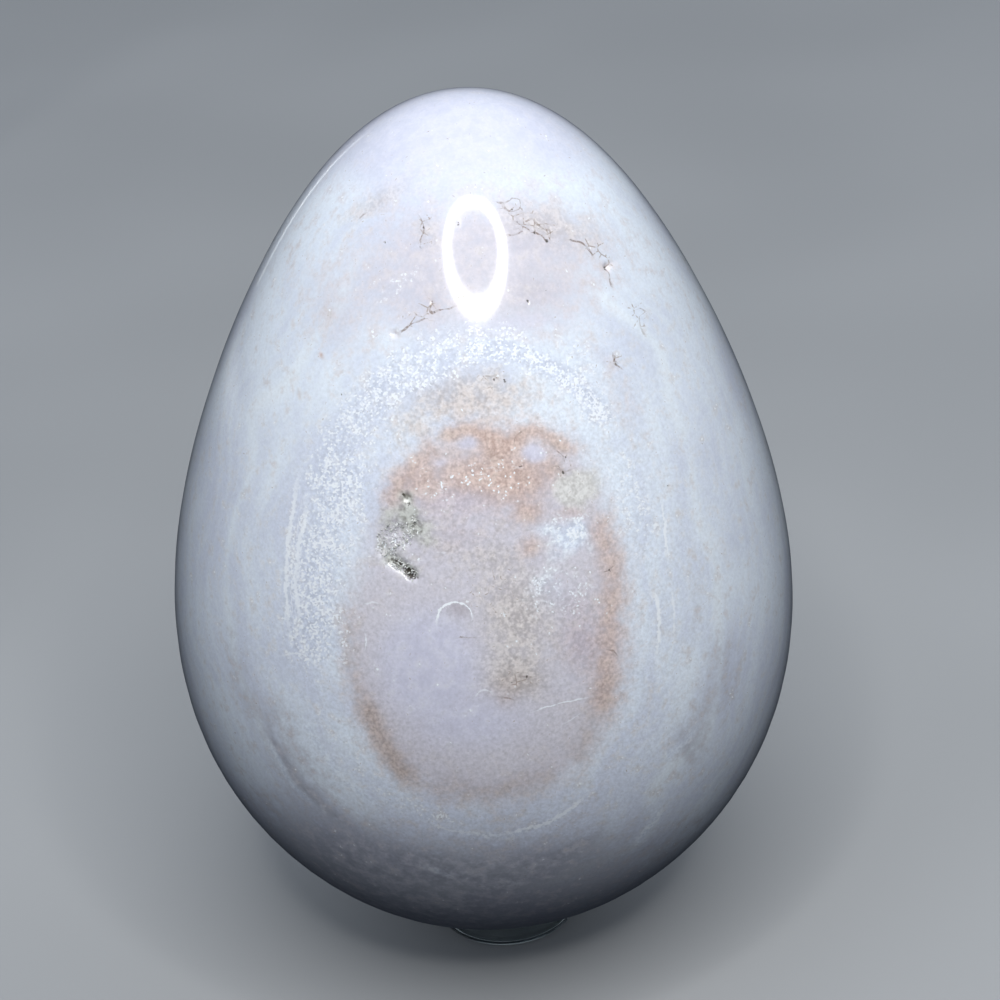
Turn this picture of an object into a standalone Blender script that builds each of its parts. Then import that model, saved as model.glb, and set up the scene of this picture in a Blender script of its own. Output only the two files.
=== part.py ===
"""Polished stone egg that rests, pointed end up, in a small clear ring stand.

Lengths are in metres and +Z is up. The origin is on the ground, at the middle of the box around
the egg and its ring. The egg leans a little towards +X, as a loose egg does in its ring.
"""

import math

import bpy

# The egg: its widest place, its length along its own axis, and how far it leans
EGG_WIDTH = 0.062
EGG_LENGTH = 0.088
EGG_LEAN = math.radians(2.5)

# The egg's radius is an ellipse's, multiplied by a cubic in the height along the axis,
# which runs from -1 at the blunt end to 1 at the pointed end
TAPER = -0.267
WAIST = -0.033
SHOULDER = 0.118

# The ring stand, and the height of the egg's lowest point above the ground
RING_WIDTH = 0.0145
RING_BORE = 0.0105
FOOT_CHAMFER = 0.00045
BORE_CHAMFER = 0.0002
EGG_CLEARANCE = 0.0035
SEAT_GAP = 0.0003

# How finely the round shapes are divided
EGG_STEPS = 56
EGG_RINGS = 36
RING_STEPS = 48
RIM_POINTS = 9
WELD_DISTANCE = 0.00001

HALF_LENGTH = EGG_LENGTH / 2


def fullness(height):
    """Return how full the egg is at a height from -1 to 1, against an ellipse."""
    return 1 + TAPER * height + WAIST * height ** 2 + SHOULDER * height ** 3


def widest_ellipse():
    """Return the factor that makes the egg's widest place half of EGG_WIDTH."""
    samples = 2000
    turns = [math.pi * i / samples for i in range(samples + 1)]
    return EGG_WIDTH / 2 / max(math.sin(turn) * fullness(math.cos(turn)) for turn in turns)


BODY_RADIUS = widest_ellipse()
BLUNT_RADIUS = (BODY_RADIUS * fullness(-1)) ** 2 / HALF_LENGTH


def egg_profile():
    """Return the egg's half outline, from its pointed end down to its blunt end."""
    points = []
    for i in range(EGG_RINGS + 1):
        turn = math.pi * i / EGG_RINGS
        height = math.cos(turn)
        radius = BODY_RADIUS * math.sin(turn) * fullness(height)
        points.append((radius, HALF_LENGTH * height))
    points[0] = (0.0, HALF_LENGTH)
    points[-1] = (0.0, -HALF_LENGTH)
    return points


def egg_reach(side):
    """Return how far the leaning egg reaches from its centre, to +X for side 1 and -X for side -1."""
    across = math.cos(EGG_LEAN)
    along = side * math.sin(EGG_LEAN)
    return max(across * radius + along * height for radius, height in egg_profile())


# The blunt end is nearly a sphere, and the ring's axis runs through that sphere's centre
BLUNT_OFFSET = HALF_LENGTH - BLUNT_RADIUS
EGG_X = (egg_reach(-1) - egg_reach(1)) / 2
EGG_Z = EGG_CLEARANCE + BLUNT_RADIUS + BLUNT_OFFSET * math.cos(EGG_LEAN)
RING_X = EGG_X - BLUNT_OFFSET * math.sin(EGG_LEAN)


def ring_profile():
    """Return the ring's section: a half-round rim that the egg sits on, and a chamfered foot."""
    outer = RING_WIDTH / 2
    inner = RING_BORE / 2
    rim = (outer - inner) / 2
    middle = (outer + inner) / 2
    blunt_centre = EGG_CLEARANCE + BLUNT_RADIUS
    reach = BLUNT_RADIUS + SEAT_GAP + rim
    rim_height = blunt_centre - math.sqrt(reach ** 2 - middle ** 2)
    points = []
    for i in range(RIM_POINTS):
        turn = math.pi * (1 - i / (RIM_POINTS - 1))
        points.append((middle + rim * math.cos(turn), rim_height + rim * math.sin(turn)))
    points.append((outer, FOOT_CHAMFER))
    points.append((outer - FOOT_CHAMFER, 0.0))
    points.append((inner + BORE_CHAMFER, 0.0))
    points.append((inner, BORE_CHAMFER))
    return points


def turned_mesh(name, points, closed):
    """Return a mesh that holds a half outline in the XZ plane, as a chain of edges."""
    mesh = bpy.data.meshes.new(name)
    edges = [(i, i + 1) for i in range(len(points) - 1)]
    if closed:
        edges.append((len(points) - 1, 0))
    mesh.from_pydata([(radius, 0.0, height) for radius, height in points], edges, [])
    return mesh


def turned_object(name, points, closed, steps, collection):
    """Return an object whose half outline is turned round its own Z axis."""
    turned = bpy.data.objects.new(name, turned_mesh(name, points, closed))
    collection.objects.link(turned)
    screw = turned.modifiers.new("turn", "SCREW")
    screw.steps = steps
    screw.render_steps = steps
    screw.use_merge_vertices = True
    screw.merge_threshold = WELD_DISTANCE
    screw.use_smooth_shade = True
    return turned


def finish(name, colour, roughness):
    """Return a material and its shader node."""
    material = bpy.data.materials.new(name)
    material.use_nodes = True
    shader = material.node_tree.nodes["Principled BSDF"]
    shader.inputs["Base Color"].default_value = (*colour, 1.0)
    shader.inputs["Roughness"].default_value = roughness
    shader.inputs["Metallic"].default_value = 0.0
    return material, shader


def make_egg(collection):
    """Make the stone egg, leaning in its ring."""
    egg = turned_object("egg", egg_profile(), False, EGG_STEPS, collection)
    egg.location = (EGG_X, 0.0, EGG_Z)
    egg.rotation_euler = (0.0, EGG_LEAN, 0.0)
    stone, _ = finish("polished_stone", (0.72, 0.73, 0.80), 0.12)
    egg.data.materials.append(stone)


def make_ring(collection):
    """Make the clear ring that the egg rests in."""
    ring = turned_object("ring_stand", ring_profile(), True, RING_STEPS, collection)
    ring.location = (RING_X, 0.0, 0.0)
    clear, shader = finish("clear_ring", (0.93, 0.97, 0.97), 0.03)
    shader.inputs["Transmission Weight"].default_value = 1.0
    shader.inputs["IOR"].default_value = 1.49
    ring.data.materials.append(clear)


def main():
    """Clear the scene and build the egg and its ring."""
    for old in list(bpy.data.objects):
        bpy.data.objects.remove(old, do_unlink=True)
    collection = bpy.data.collections.new("stone_egg")
    bpy.context.scene.collection.children.link(collection)
    make_egg(collection)
    make_ring(collection)


main()
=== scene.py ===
"""A polished jasper egg resting in its clear ring stand, dressed and lit in a pale studio.

The stone is milky chalcedony. Its front holds an eye of peach and lilac quartz, with a halo of fine
white crystals round it, a small dark druzy hollow, brown veins and healed cracks.

Marks on the stone are placed in millimetres on the face plane. The plane goes through the egg's
centre and faces the side with the eye: the first number runs to the right and the second one up.
"""

import logging
import math
import random
from dataclasses import dataclass, field
from enum import Enum
from typing import Any, Sequence

import bpy
import numpy as np
from mathutils import Matrix, Vector, noise


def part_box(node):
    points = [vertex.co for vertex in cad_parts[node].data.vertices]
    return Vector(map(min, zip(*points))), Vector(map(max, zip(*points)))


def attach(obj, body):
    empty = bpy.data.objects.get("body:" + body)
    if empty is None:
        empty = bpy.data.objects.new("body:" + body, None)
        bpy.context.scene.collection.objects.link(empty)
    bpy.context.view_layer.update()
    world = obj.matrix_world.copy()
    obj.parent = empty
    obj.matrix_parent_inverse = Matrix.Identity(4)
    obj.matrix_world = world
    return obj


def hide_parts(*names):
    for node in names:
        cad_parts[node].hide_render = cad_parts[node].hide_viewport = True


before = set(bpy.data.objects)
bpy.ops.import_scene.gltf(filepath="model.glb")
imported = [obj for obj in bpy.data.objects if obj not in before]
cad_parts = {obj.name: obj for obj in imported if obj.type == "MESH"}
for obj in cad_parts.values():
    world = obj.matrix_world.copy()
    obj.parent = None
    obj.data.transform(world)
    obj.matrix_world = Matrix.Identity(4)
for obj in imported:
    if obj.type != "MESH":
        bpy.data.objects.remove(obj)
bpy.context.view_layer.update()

LOG = logging.getLogger("jasper_egg")
MM = 0.001
BODY = "root"
# A piece that carries a map of this name keeps it when its finish is baked
BAKE_MAP = "OFBake"

Point = tuple[float, float]
Colour = tuple[float, float, float]


class Slot(Enum):
    """The record's material slots."""

    STONE = "polished_stone"
    RING = "clear_ring"


class Mineral(Enum):
    """What a mark on the stone is made of. Each one is a point attribute of the stone's mesh."""

    EYE = "eye"
    LILAC = "lilac"
    BEIGE = "beige"
    MAUVE = "mauve"
    PINK = "pink"
    QUARTZ = "quartz"
    CREAM = "cream"
    ICE = "ice"
    IRON = "iron"
    RUST = "rust"
    OLIVE = "olive"
    VEIN = "vein"
    SPECK = "speck"
    HEALED = "healed"
    SHADE = "shade"
    # Dusky streaks in the stone, and painted shade that darkens the bottom of the egg
    DUSK_AND_PAINTED_SHADE = "dusk_and_painted_shade"
    NET = "net"
    # Painted glints: where single grains are painted bright white
    PAINTED_GLINT = "painted_glint"
    HOLLOW = "hollow"

    def side_name(self) -> str:
        """Return the name of the attribute that says how far a point lies to one side of a crack."""
        return self.value + "_side"


def ease(value: np.ndarray, low: float, high: float) -> np.ndarray:
    """Return 0 up to low and 1 from high, with a smooth rise between them.

    Args:
        value: the numbers to rise with
        low: where the rise starts
        high: where it ends

    Returns:
        A share from 0 to 1 for each number.
    """
    share = np.clip((value - low) / (high - low), 0, 1)
    return share * share * (3 - 2 * share)


def smooth_line(points: Sequence[Point], steps: int = 6) -> np.ndarray:
    """Return close points on a smooth curve through a few places.

    Args:
        points: the places that the curve goes through
        steps: how many points each stretch gets

    Returns:
        The points, one a row.
    """
    knots = np.array([points[0], *points, points[-1]], float)
    line = []
    for before, start, end, after in zip(knots, knots[1:], knots[2:], knots[3:]):
        for share in np.arange(steps) / steps:
            line.append(
                0.5 * (2 * start + (end - before) * share
                       + (2 * before - 5 * start + 4 * end - after) * share ** 2
                       + (3 * start - before - 3 * end + after) * share ** 3)
            )
    line.append(knots[-1])
    return np.array(line)


def measure_line(line: np.ndarray, right: np.ndarray, up: np.ndarray) -> tuple[np.ndarray, ...]:
    """Measure places on the face plane against a line.

    Args:
        line: points along the line
        right: the places' distances to the right
        up: the places' distances up

    Returns:
        Each place's distance to the line, how far along the line the nearest point is, from 0 to 1,
        and which side of the line the place is on, 1 or -1.
    """
    lengths = np.maximum(np.hypot(*np.diff(line, axis=0).T), 1e-9)
    starts = np.concatenate([[0.0], np.cumsum(lengths)])
    nearest = np.full(right.shape, np.inf)
    along = np.zeros(right.shape)
    side = np.ones(right.shape)
    for (x0, y0), (x1, y1), length, start in zip(line, line[1:], lengths, starts):
        run, rise = x1 - x0, y1 - y0
        share = np.clip(((right - x0) * run + (up - y0) * rise) / length ** 2, 0, 1)
        distance = np.hypot(right - x0 - share * run, up - y0 - share * rise)
        closer = distance < nearest
        nearest = np.where(closer, distance, nearest)
        along = np.where(closer, (start + share * length) / starts[-1], along)
        left = run * (up - y0) - rise * (right - x0) >= 0
        side = np.where(closer, np.where(left, 1.0, -1.0), side)
    return nearest, along, side


class MarkSheet:
    """How strong each mineral is at every point of the stone's skin."""

    OVERLAP = 0.35
    FAR = 9.0
    # The marks fade out where the skin turns away behind the face plane, in millimetres from it
    TURNED_AWAY: Point = (-6.0, -1.0)

    def __init__(self, right: np.ndarray, up: np.ndarray, toward: np.ndarray) -> None:
        """Start with a bare skin.

        Args:
            right: each point's distance to the right on the face plane, in millimetres
            up: its distance up on the face plane
            toward: its distance in front of the face plane
        """
        self.right, self.up = right, up
        self.front = ease(toward, *self.TURNED_AWAY)
        self.layers = {mineral: np.zeros(right.shape) for mineral in Mineral}
        self.sides = {mineral: np.full(right.shape, self.FAR) for mineral in (Mineral.VEIN, Mineral.HEALED)}

    def near(self, points: Sequence[Point], reach: float) -> np.ndarray:
        """Return which points of the skin lie near some places, on the side with the eye.

        Args:
            points: the places on the face plane
            reach: how far from the box around them still counts

        Returns:
            True for each point that does.
        """
        places = np.array(points)
        low, high = places.min(0) - reach, places.max(0) + reach
        beside = (self.right > low[0]) & (self.right < high[0])
        level = (self.up > low[1]) & (self.up < high[1])
        return beside & level & (self.front > 0)

    def lay(self, mineral: Mineral, where: np.ndarray, strength: np.ndarray) -> None:
        """Lay a mark over what is there: the stronger one shows, with a part of the other.

        Args:
            mineral: what the mark is made of
            where: which points of the skin it covers
            strength: its strength at those points
        """
        old, new = self.layers[mineral][where], strength * self.front[where]
        self.layers[mineral][where] = np.maximum(old, new) + self.OVERLAP * np.minimum(old, new)

    def cut(self, mineral: Mineral, where: np.ndarray, strength: np.ndarray, side: np.ndarray) -> None:
        """Lay a thin line: the nearest line's own side counts at each point.

        Args:
            mineral: what the line is made of
            where: which points of the skin it is near
            strength: its strength at those points
            side: how far they lie to its left, below 0 to its right, in half widths of the line
        """
        new = strength * self.front[where]
        closer = new > self.layers[mineral][where]
        self.layers[mineral][where] = np.where(closer, new, self.layers[mineral][where])
        self.sides[mineral][where] = np.where(closer, side, self.sides[mineral][where])

    def attributes(self) -> dict[str, np.ndarray]:
        """Return every layer by the name of its attribute."""
        named = {mineral.value: layer for mineral, layer in self.layers.items()}
        named.update({mineral.side_name(): side for mineral, side in self.sides.items()})
        return named


@dataclass(frozen=True)
class Patch:
    """A soft oval mark.

    Attributes:
        mineral: what it is made of
        centre: its middle on the face plane, in millimetres
        radii: its half width and half height, in millimetres
        strength: how strong it is in the middle
        turn: how far it is turned, in degrees, anticlockwise
        edge: how crisp its edge is, from 1, soft
    """

    mineral: Mineral
    centre: Point
    radii: Point
    strength: float = 1.0
    turn: float = 0.0
    edge: float = 1.0

    def paint(self, sheet: MarkSheet) -> None:
        """Lay the patch on the stone's skin."""
        where = sheet.near([self.centre], 2.4 * max(self.radii))
        across, rise = sheet.right[where] - self.centre[0], sheet.up[where] - self.centre[1]
        cosine, sine = math.cos(math.radians(self.turn)), math.sin(math.radians(self.turn))
        spread = ((across * cosine + rise * sine) / self.radii[0]) ** 2
        spread += ((rise * cosine - across * sine) / self.radii[1]) ** 2
        sheet.lay(self.mineral, where, self.strength * np.exp(-(spread ** self.edge)))


@dataclass(frozen=True)
class Band:
    """A soft mark along a smooth line.

    Attributes:
        mineral: what it is made of
        points: the places that the line goes through on the face plane, in millimetres
        width: its half width, in millimetres
        strength: how strong it is along its middle
        fade: the part of its length over which each end fades out
    """

    mineral: Mineral
    points: tuple[Point, ...]
    width: float
    strength: float = 1.0
    fade: float = 0.15

    def paint(self, sheet: MarkSheet) -> None:
        """Lay the band on the stone's skin."""
        where = sheet.near(self.points, 2.4 * self.width)
        distance, along, _ = measure_line(smooth_line(self.points), sheet.right[where], sheet.up[where])
        ends = np.clip(np.minimum(along, 1 - along) / self.fade, 0, 1)
        sheet.lay(self.mineral, where, self.strength * ends * np.exp(-((distance / self.width) ** 2)))


@dataclass(frozen=True)
class Crack:
    """A thin line, finer than the mesh, which the finish draws from its two sides.

    Attributes:
        mineral: what fills it, VEIN or HEALED
        points: the places that it goes through on the face plane, in millimetres
        width: its half width, in millimetres
        strength: how strong it is
        fade: the part of its length over which each end fades out
    """

    WINDOW = 0.75

    mineral: Mineral
    points: tuple[Point, ...]
    width: float = 0.08
    strength: float = 1.0
    fade: float = 0.08

    def paint(self, sheet: MarkSheet) -> None:
        """Lay the line on the stone's skin."""
        where = sheet.near(self.points, self.WINDOW)
        distance, along, side = measure_line(smooth_line(self.points), sheet.right[where], sheet.up[where])
        ends = np.clip(np.minimum(along, 1 - along) / self.fade, 0.25, 1)
        window = 1 - ease(distance, self.WINDOW / 2, self.WINDOW)
        sheet.cut(self.mineral, where, self.strength * ends * window, side * distance / self.width)


Mark = Patch | Band | Crack


class EyeMarks:
    """Every mark on the side of the stone with the eye, by name of its part."""

    # Distance from the eye's middle to its rim, every so many degrees from the right, anticlockwise
    MIDDLE: Point = (-0.8, -9.2)
    RIM: dict[float, float] = {
        0: 12.8, 30: 14.0, 60: 17.6, 75: 17.5, 90: 17.4, 105: 16.4, 120: 15.0, 135: 13.1,
        150: 12.2, 180: 12.6, 210: 14.3, 240: 16.9, 270: 17.6, 300: 17.0, 330: 14.5,
    }
    # Small dark specks: place and radius
    SPECKS: tuple[tuple[float, float, float], ...] = (
        (1.45, -15.35, 0.2), (2.9, -14.85, 0.2), (1.0, -16.7, 0.16), (0.0, -9.05, 0.12),
        (7.3, 4.85, 0.15), (3.2, 4.1, 0.2), (0.6, 5.0, 0.12), (6.95, 3.5, 0.18),
        (12.3, 13.3, 0.25), (-12.4, 11.5, 0.14), (16.9, 1.9, 0.14), (14.6, 20.2, 0.13),
        (-6.9, 1.2, 0.24), (-7.4, 2.0, 0.2), (-1.5, 19.5, 0.15), (-1.0, 19.4, 0.12),
        (10.9, -5.65, 0.2), (15.1, 16.1, 0.14), (-1.1, 26.2, 0.2),
        (2.2, 11.9, 0.2), (-2.8, -11.0, 0.1), (-10.9, 12.6, 0.1), (12.5, 9.4, 0.12),
        (6.6, 24.4, 0.22), (4.1, 26.1, 0.16), (5.6, 25.1, 0.18), (6.1, 25.7, 0.15),
        (-4.3, 26.1, 0.17), (-4.7, 24.4, 0.17), (-4.1, 19.3, 0.20), (-3.8, 18.4, 0.17),
        (9.0, 24.4, 0.20), (14.3, 17.8, 0.17), (3.7, 27.4, 0.14), (12.1, 21.9, 0.20),
        (12.5, 13.0, 0.20), (4.6, 18.8, 0.20), (6.3, 20.0, 0.15), (1.3, 12.1, 0.18),
        (17.9, 10.4, 0.12), (-7.0, -4.9, 0.25), (-8.3, -4.3, 0.2), (-7.9, 25.0, 0.1),
    )
    # Painted glints: single bright specks painted white, place and radius
    PAINTED_GLINTS: tuple[tuple[float, float, float], ...] = (
        (0.6, 4.2, 0.1), (1.1, 3.9, 0.12), (-0.3, 3.7, 0.09), (-3.9, 2.9, 0.1), (-3.8, 2.2, 0.1),
        (-5.3, 2.2, 0.1), (-5.1, 8.9, 0.12), (2.7, 0.9, 0.1), (9.2, -7.0, 0.12), (6.6, -8.6, 0.1),
        (-4.1, -3.1, 0.1), (-6.3, -3.8, 0.1), (-9.3, -6.8, 0.12), (12.3, 21.9, 0.13),
        (-7.5, 16.4, 0.2), (-7.8, 16.0, 0.14), (-7.3, 16.8, 0.12), (-14.4, -14.0, 0.1),
        (4.9, 7.6, 0.1), (5.4, 8.4, 0.09), (2.9, 4.0, 0.14), (2.7, 4.5, 0.1), (11.4, 10.9, 0.16),
    )

    def rim_depth(self, right: np.ndarray, up: np.ndarray) -> np.ndarray:
        """Return how far places on the face plane lie inside the eye's rim, in millimetres.

        Args:
            right: the places' distances to the right
            up: the places' distances up

        Returns:
            The depth inside the rim, below 0 outside it.
        """
        across, rise = right - self.MIDDLE[0], up - self.MIDDLE[1]
        turn = np.degrees(np.arctan2(rise, across)) % 360
        rim = np.interp(turn, list(self.RIM), list(self.RIM.values()), period=360)
        return rim - np.hypot(across, rise)

    def crown(self) -> list[Mark]:
        """Return the peach crown at the top of the eye, and the spots that hang from it."""
        iron, rust = Mineral.IRON, Mineral.RUST
        top_edge = (
            (-4.2, 6.6), (-2.3, 7.5), (-0.9, 7.6), (0.8, 6.6), (2.4, 6.2), (4.2, 7.2), (6.2, 6.5), (8.6, 5.0),
        )
        left_edge = ((-9.3, 0.7), (-8.5, 2.0), (-7.6, 3.3), (-6.5, 4.5), (-5.2, 5.8), (-3.8, 6.8))
        return [
            Band(iron, left_edge, 1.35, 0.75, 0.12),
            Band(iron, top_edge, 0.9, 0.85, 0.1),
            Patch(iron, (-5.6, 3.2), (2.6, 1.9), 0.75),
            Patch(iron, (-1.4, 3.6), (4.4, 2.0), 0.85),
            Patch(iron, (2.2, 2.8), (3.8, 2.4), 1.05, edge=1.3),
            Patch(iron, (1.2, 5.6), (2.2, 1.6), 0.95),
            Patch(iron, (5.6, 3.9), (1.4, 1.6), 0.7),
            Patch(iron, (3.6, 0.1), (1.8, 1.3), 0.95),
            Patch(iron, (3.7, -3.2), (1.1, 1.1), 0.85),
            Patch(iron, (7.6, -0.2), (1.4, 0.8), 0.6),
            Patch(iron, (-1.6, 6.0), (5.0, 2.4), 0.4),
            Patch(iron, (1.0, 7.4), (2.4, 1.2), 0.5),
            Patch(iron, (5.0, 5.4), (3.4, 2.2), 0.4),
            Patch(iron, (0.0, 9.4), (7.6, 2.6), 0.34),
            Band(rust, ((-4.6, 6.4), (-2.8, 7.6), (-0.9, 7.5)), 0.5, 0.4, 0.3),
            Band(rust, ((5.0, 6.9), (6.6, 6.0), (8.2, 4.9)), 0.5, 0.4, 0.3),
            Patch(rust, (0.6, 5.2), (0.9, 1.1), 0.35),
            Patch(rust, (-7.6, 2.4), (1.0, 1.2), 0.4, -30),
            Patch(rust, (6.6, 3.6), (1.0, 0.5), 0.5, -20),
            Patch(rust, (3.8, -0.3), (1.0, 0.6), 0.35),
        ]

    def rust_rim(self) -> list[Mark]:
        """Return the stained rim: peach at the right, brown at the lower left, and faint between."""
        iron, rust = Mineral.IRON, Mineral.RUST
        right_band = (
            (9.3, -0.3), (10.2, -1.9), (10.9, -4.2), (11.3, -6.5), (10.9, -9.7), (10.4, -12.9),
            (10.0, -16.6), (9.1, -19.4),
        )
        left_band = ((-12.4, -6.0), (-12.9, -8.4), (-13.2, -12.0), (-12.5, -15.4), (-11.2, -18.6))
        lower_left = ((-12.5, -15.4), (-11.4, -18.4), (-9.9, -21.6), (-8.2, -23.8), (-6.6, -24.6))
        return [
            Band(iron, right_band, 1.55, 0.85, 0.08),
            Band(rust, ((10.6, -13.6), (9.7, -18.4), (8.0, -21.7), (5.4, -23.7)), 1.6, 0.4, 0.2),
            Band(rust, left_band, 1.1, 0.42, 0.2),
            Band(rust, lower_left, 1.25, 0.75, 0.2),
            Band(iron, lower_left, 1.1, 0.4, 0.2),
            Band(iron, left_band, 0.8, 0.25, 0.2),
            Band(rust, ((-7.4, -24.3), (-4.6, -25.2), (-0.9, -25.7), (2.8, -25.0), (5.8, -23.4)), 1.4, 0.42),
            Patch(rust, (0.7, -17.0), (1.1, 1.1), 0.75),
            Patch(rust, (1.4, -15.6), (2.4, 1.4), 0.5),
        ]

    def druse_stains(self) -> list[Mark]:
        """Return the olive tint round the druse, and the small rusty spots higher up."""
        iron, olive = Mineral.IRON, Mineral.OLIVE
        return [
            Patch(olive, (-7.1, 1.9), (0.7, 0.6), 1.0),
            Patch(olive, (-7.1, 0.2), (1.2, 1.3), 1.0),
            Patch(olive, (-6.3, -1.0), (1.3, 1.1), 0.8),
            Patch(olive, (-8.8, 0.3), (1.3, 1.3), 0.5),
            Patch(olive, (-5.4, -2.0), (1.2, 0.8), 0.5),
            Patch(olive, (-9.0, -2.4), (1.7, 0.9), 0.6, -15),
            Patch(olive, (-8.5, -3.8), (1.6, 0.6), 0.9, -20),
            Patch(olive, (-7.1, -4.8), (0.8, 0.6), 1.1, -40),
            Patch(iron, (-3.9, 19.1), (1.0, 0.7), 0.4),
            Patch(iron, (-14.2, 15.2), (0.22, 0.28), 1.1),
            Patch(iron, (12.1, 22.0), (0.5, 0.6), 0.6),
        ]

    def inner_stone(self) -> list[Mark]:
        """Return the pale stone inside the eye: lilac, beige, mauve, cream and ice blue."""
        lilac, beige, mauve = Mineral.LILAC, Mineral.BEIGE, Mineral.MAUVE
        return [
            Patch(lilac, (-1.4, 6.4), (1.1, 0.65), 0.7, 10, 1.5),
            Patch(lilac, (-4.0, 4.9), (0.9, 0.5), 0.55),
            Patch(lilac, (4.5, 5.2), (1.2, 0.85), 0.8, -10, 1.8),
            Patch(lilac, (-1.6, 1.4), (3.6, 1.0), 0.35),
            Patch(lilac, (-6.0, -13.2), (5.0, 5.4), 1.0, edge=1.5),
            Patch(lilac, (-2.2, -18.8), (6.0, 3.0), 0.8),
            Patch(lilac, (6.0, -15.6), (2.4, 1.6), 0.4),
            Patch(beige, (2.4, -9.0), (3.6, 4.4), 0.95),
            Patch(beige, (1.4, -14.4), (3.2, 2.8), 0.8),
            Patch(beige, (0.4, -4.0), (3.4, 2.4), 0.6),
            Patch(beige, (-3.6, -2.4), (2.6, 1.8), 0.5),
            Patch(beige, (-0.8, 10.8), (6.4, 2.6), 0.85),
            Patch(beige, (-6.2, 8.4), (2.4, 2.0), 0.55),
            Patch(mauve, (8.0, -12.2), (2.2, 3.2), 0.75),
            Patch(mauve, (7.6, -8.4), (1.8, 1.9), 0.55),
            Patch(mauve, (-2.6, 1.5), (4.6, 1.9), 0.75),
            Patch(mauve, (-2.4, -11.4), (1.3, 0.9), 0.4),
            Patch(mauve, (-2.6, -1.8), (3.2, 1.6), 0.5),
            Patch(beige, (2.6, -15.4), (3.4, 1.6), 0.7),
            Patch(Mineral.CREAM, (7.9, 1.9), (1.9, 1.7), 1.1, edge=1.8),
            Patch(Mineral.CREAM, (9.4, 2.6), (1.5, 1.5), 0.8, edge=1.4),
            Patch(Mineral.ICE, (7.4, -2.4), (1.8, 1.5), 0.85, edge=1.3),
            Patch(Mineral.ICE, (8.3, -1.4), (1.2, 0.8), 0.6),
            Patch(Mineral.ICE, (6.2, -3.9), (1.7, 1.1), 0.45, 20),
            Patch(Mineral.ICE, (9.2, -3.6), (0.8, 1.3), 0.4),
            Patch(Mineral.ICE, (5.2, -1.6), (1.7, 0.8), 0.6),
            Patch(Mineral.ICE, (5.2, -6.4), (2.8, 1.8), 0.45),
            Patch(Mineral.QUARTZ, (7.6, -1.8), (2.2, 1.3), 0.6),
            Patch(Mineral.QUARTZ, (5.6, -7.4), (3.0, 2.0), 0.42),
        ]

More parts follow.
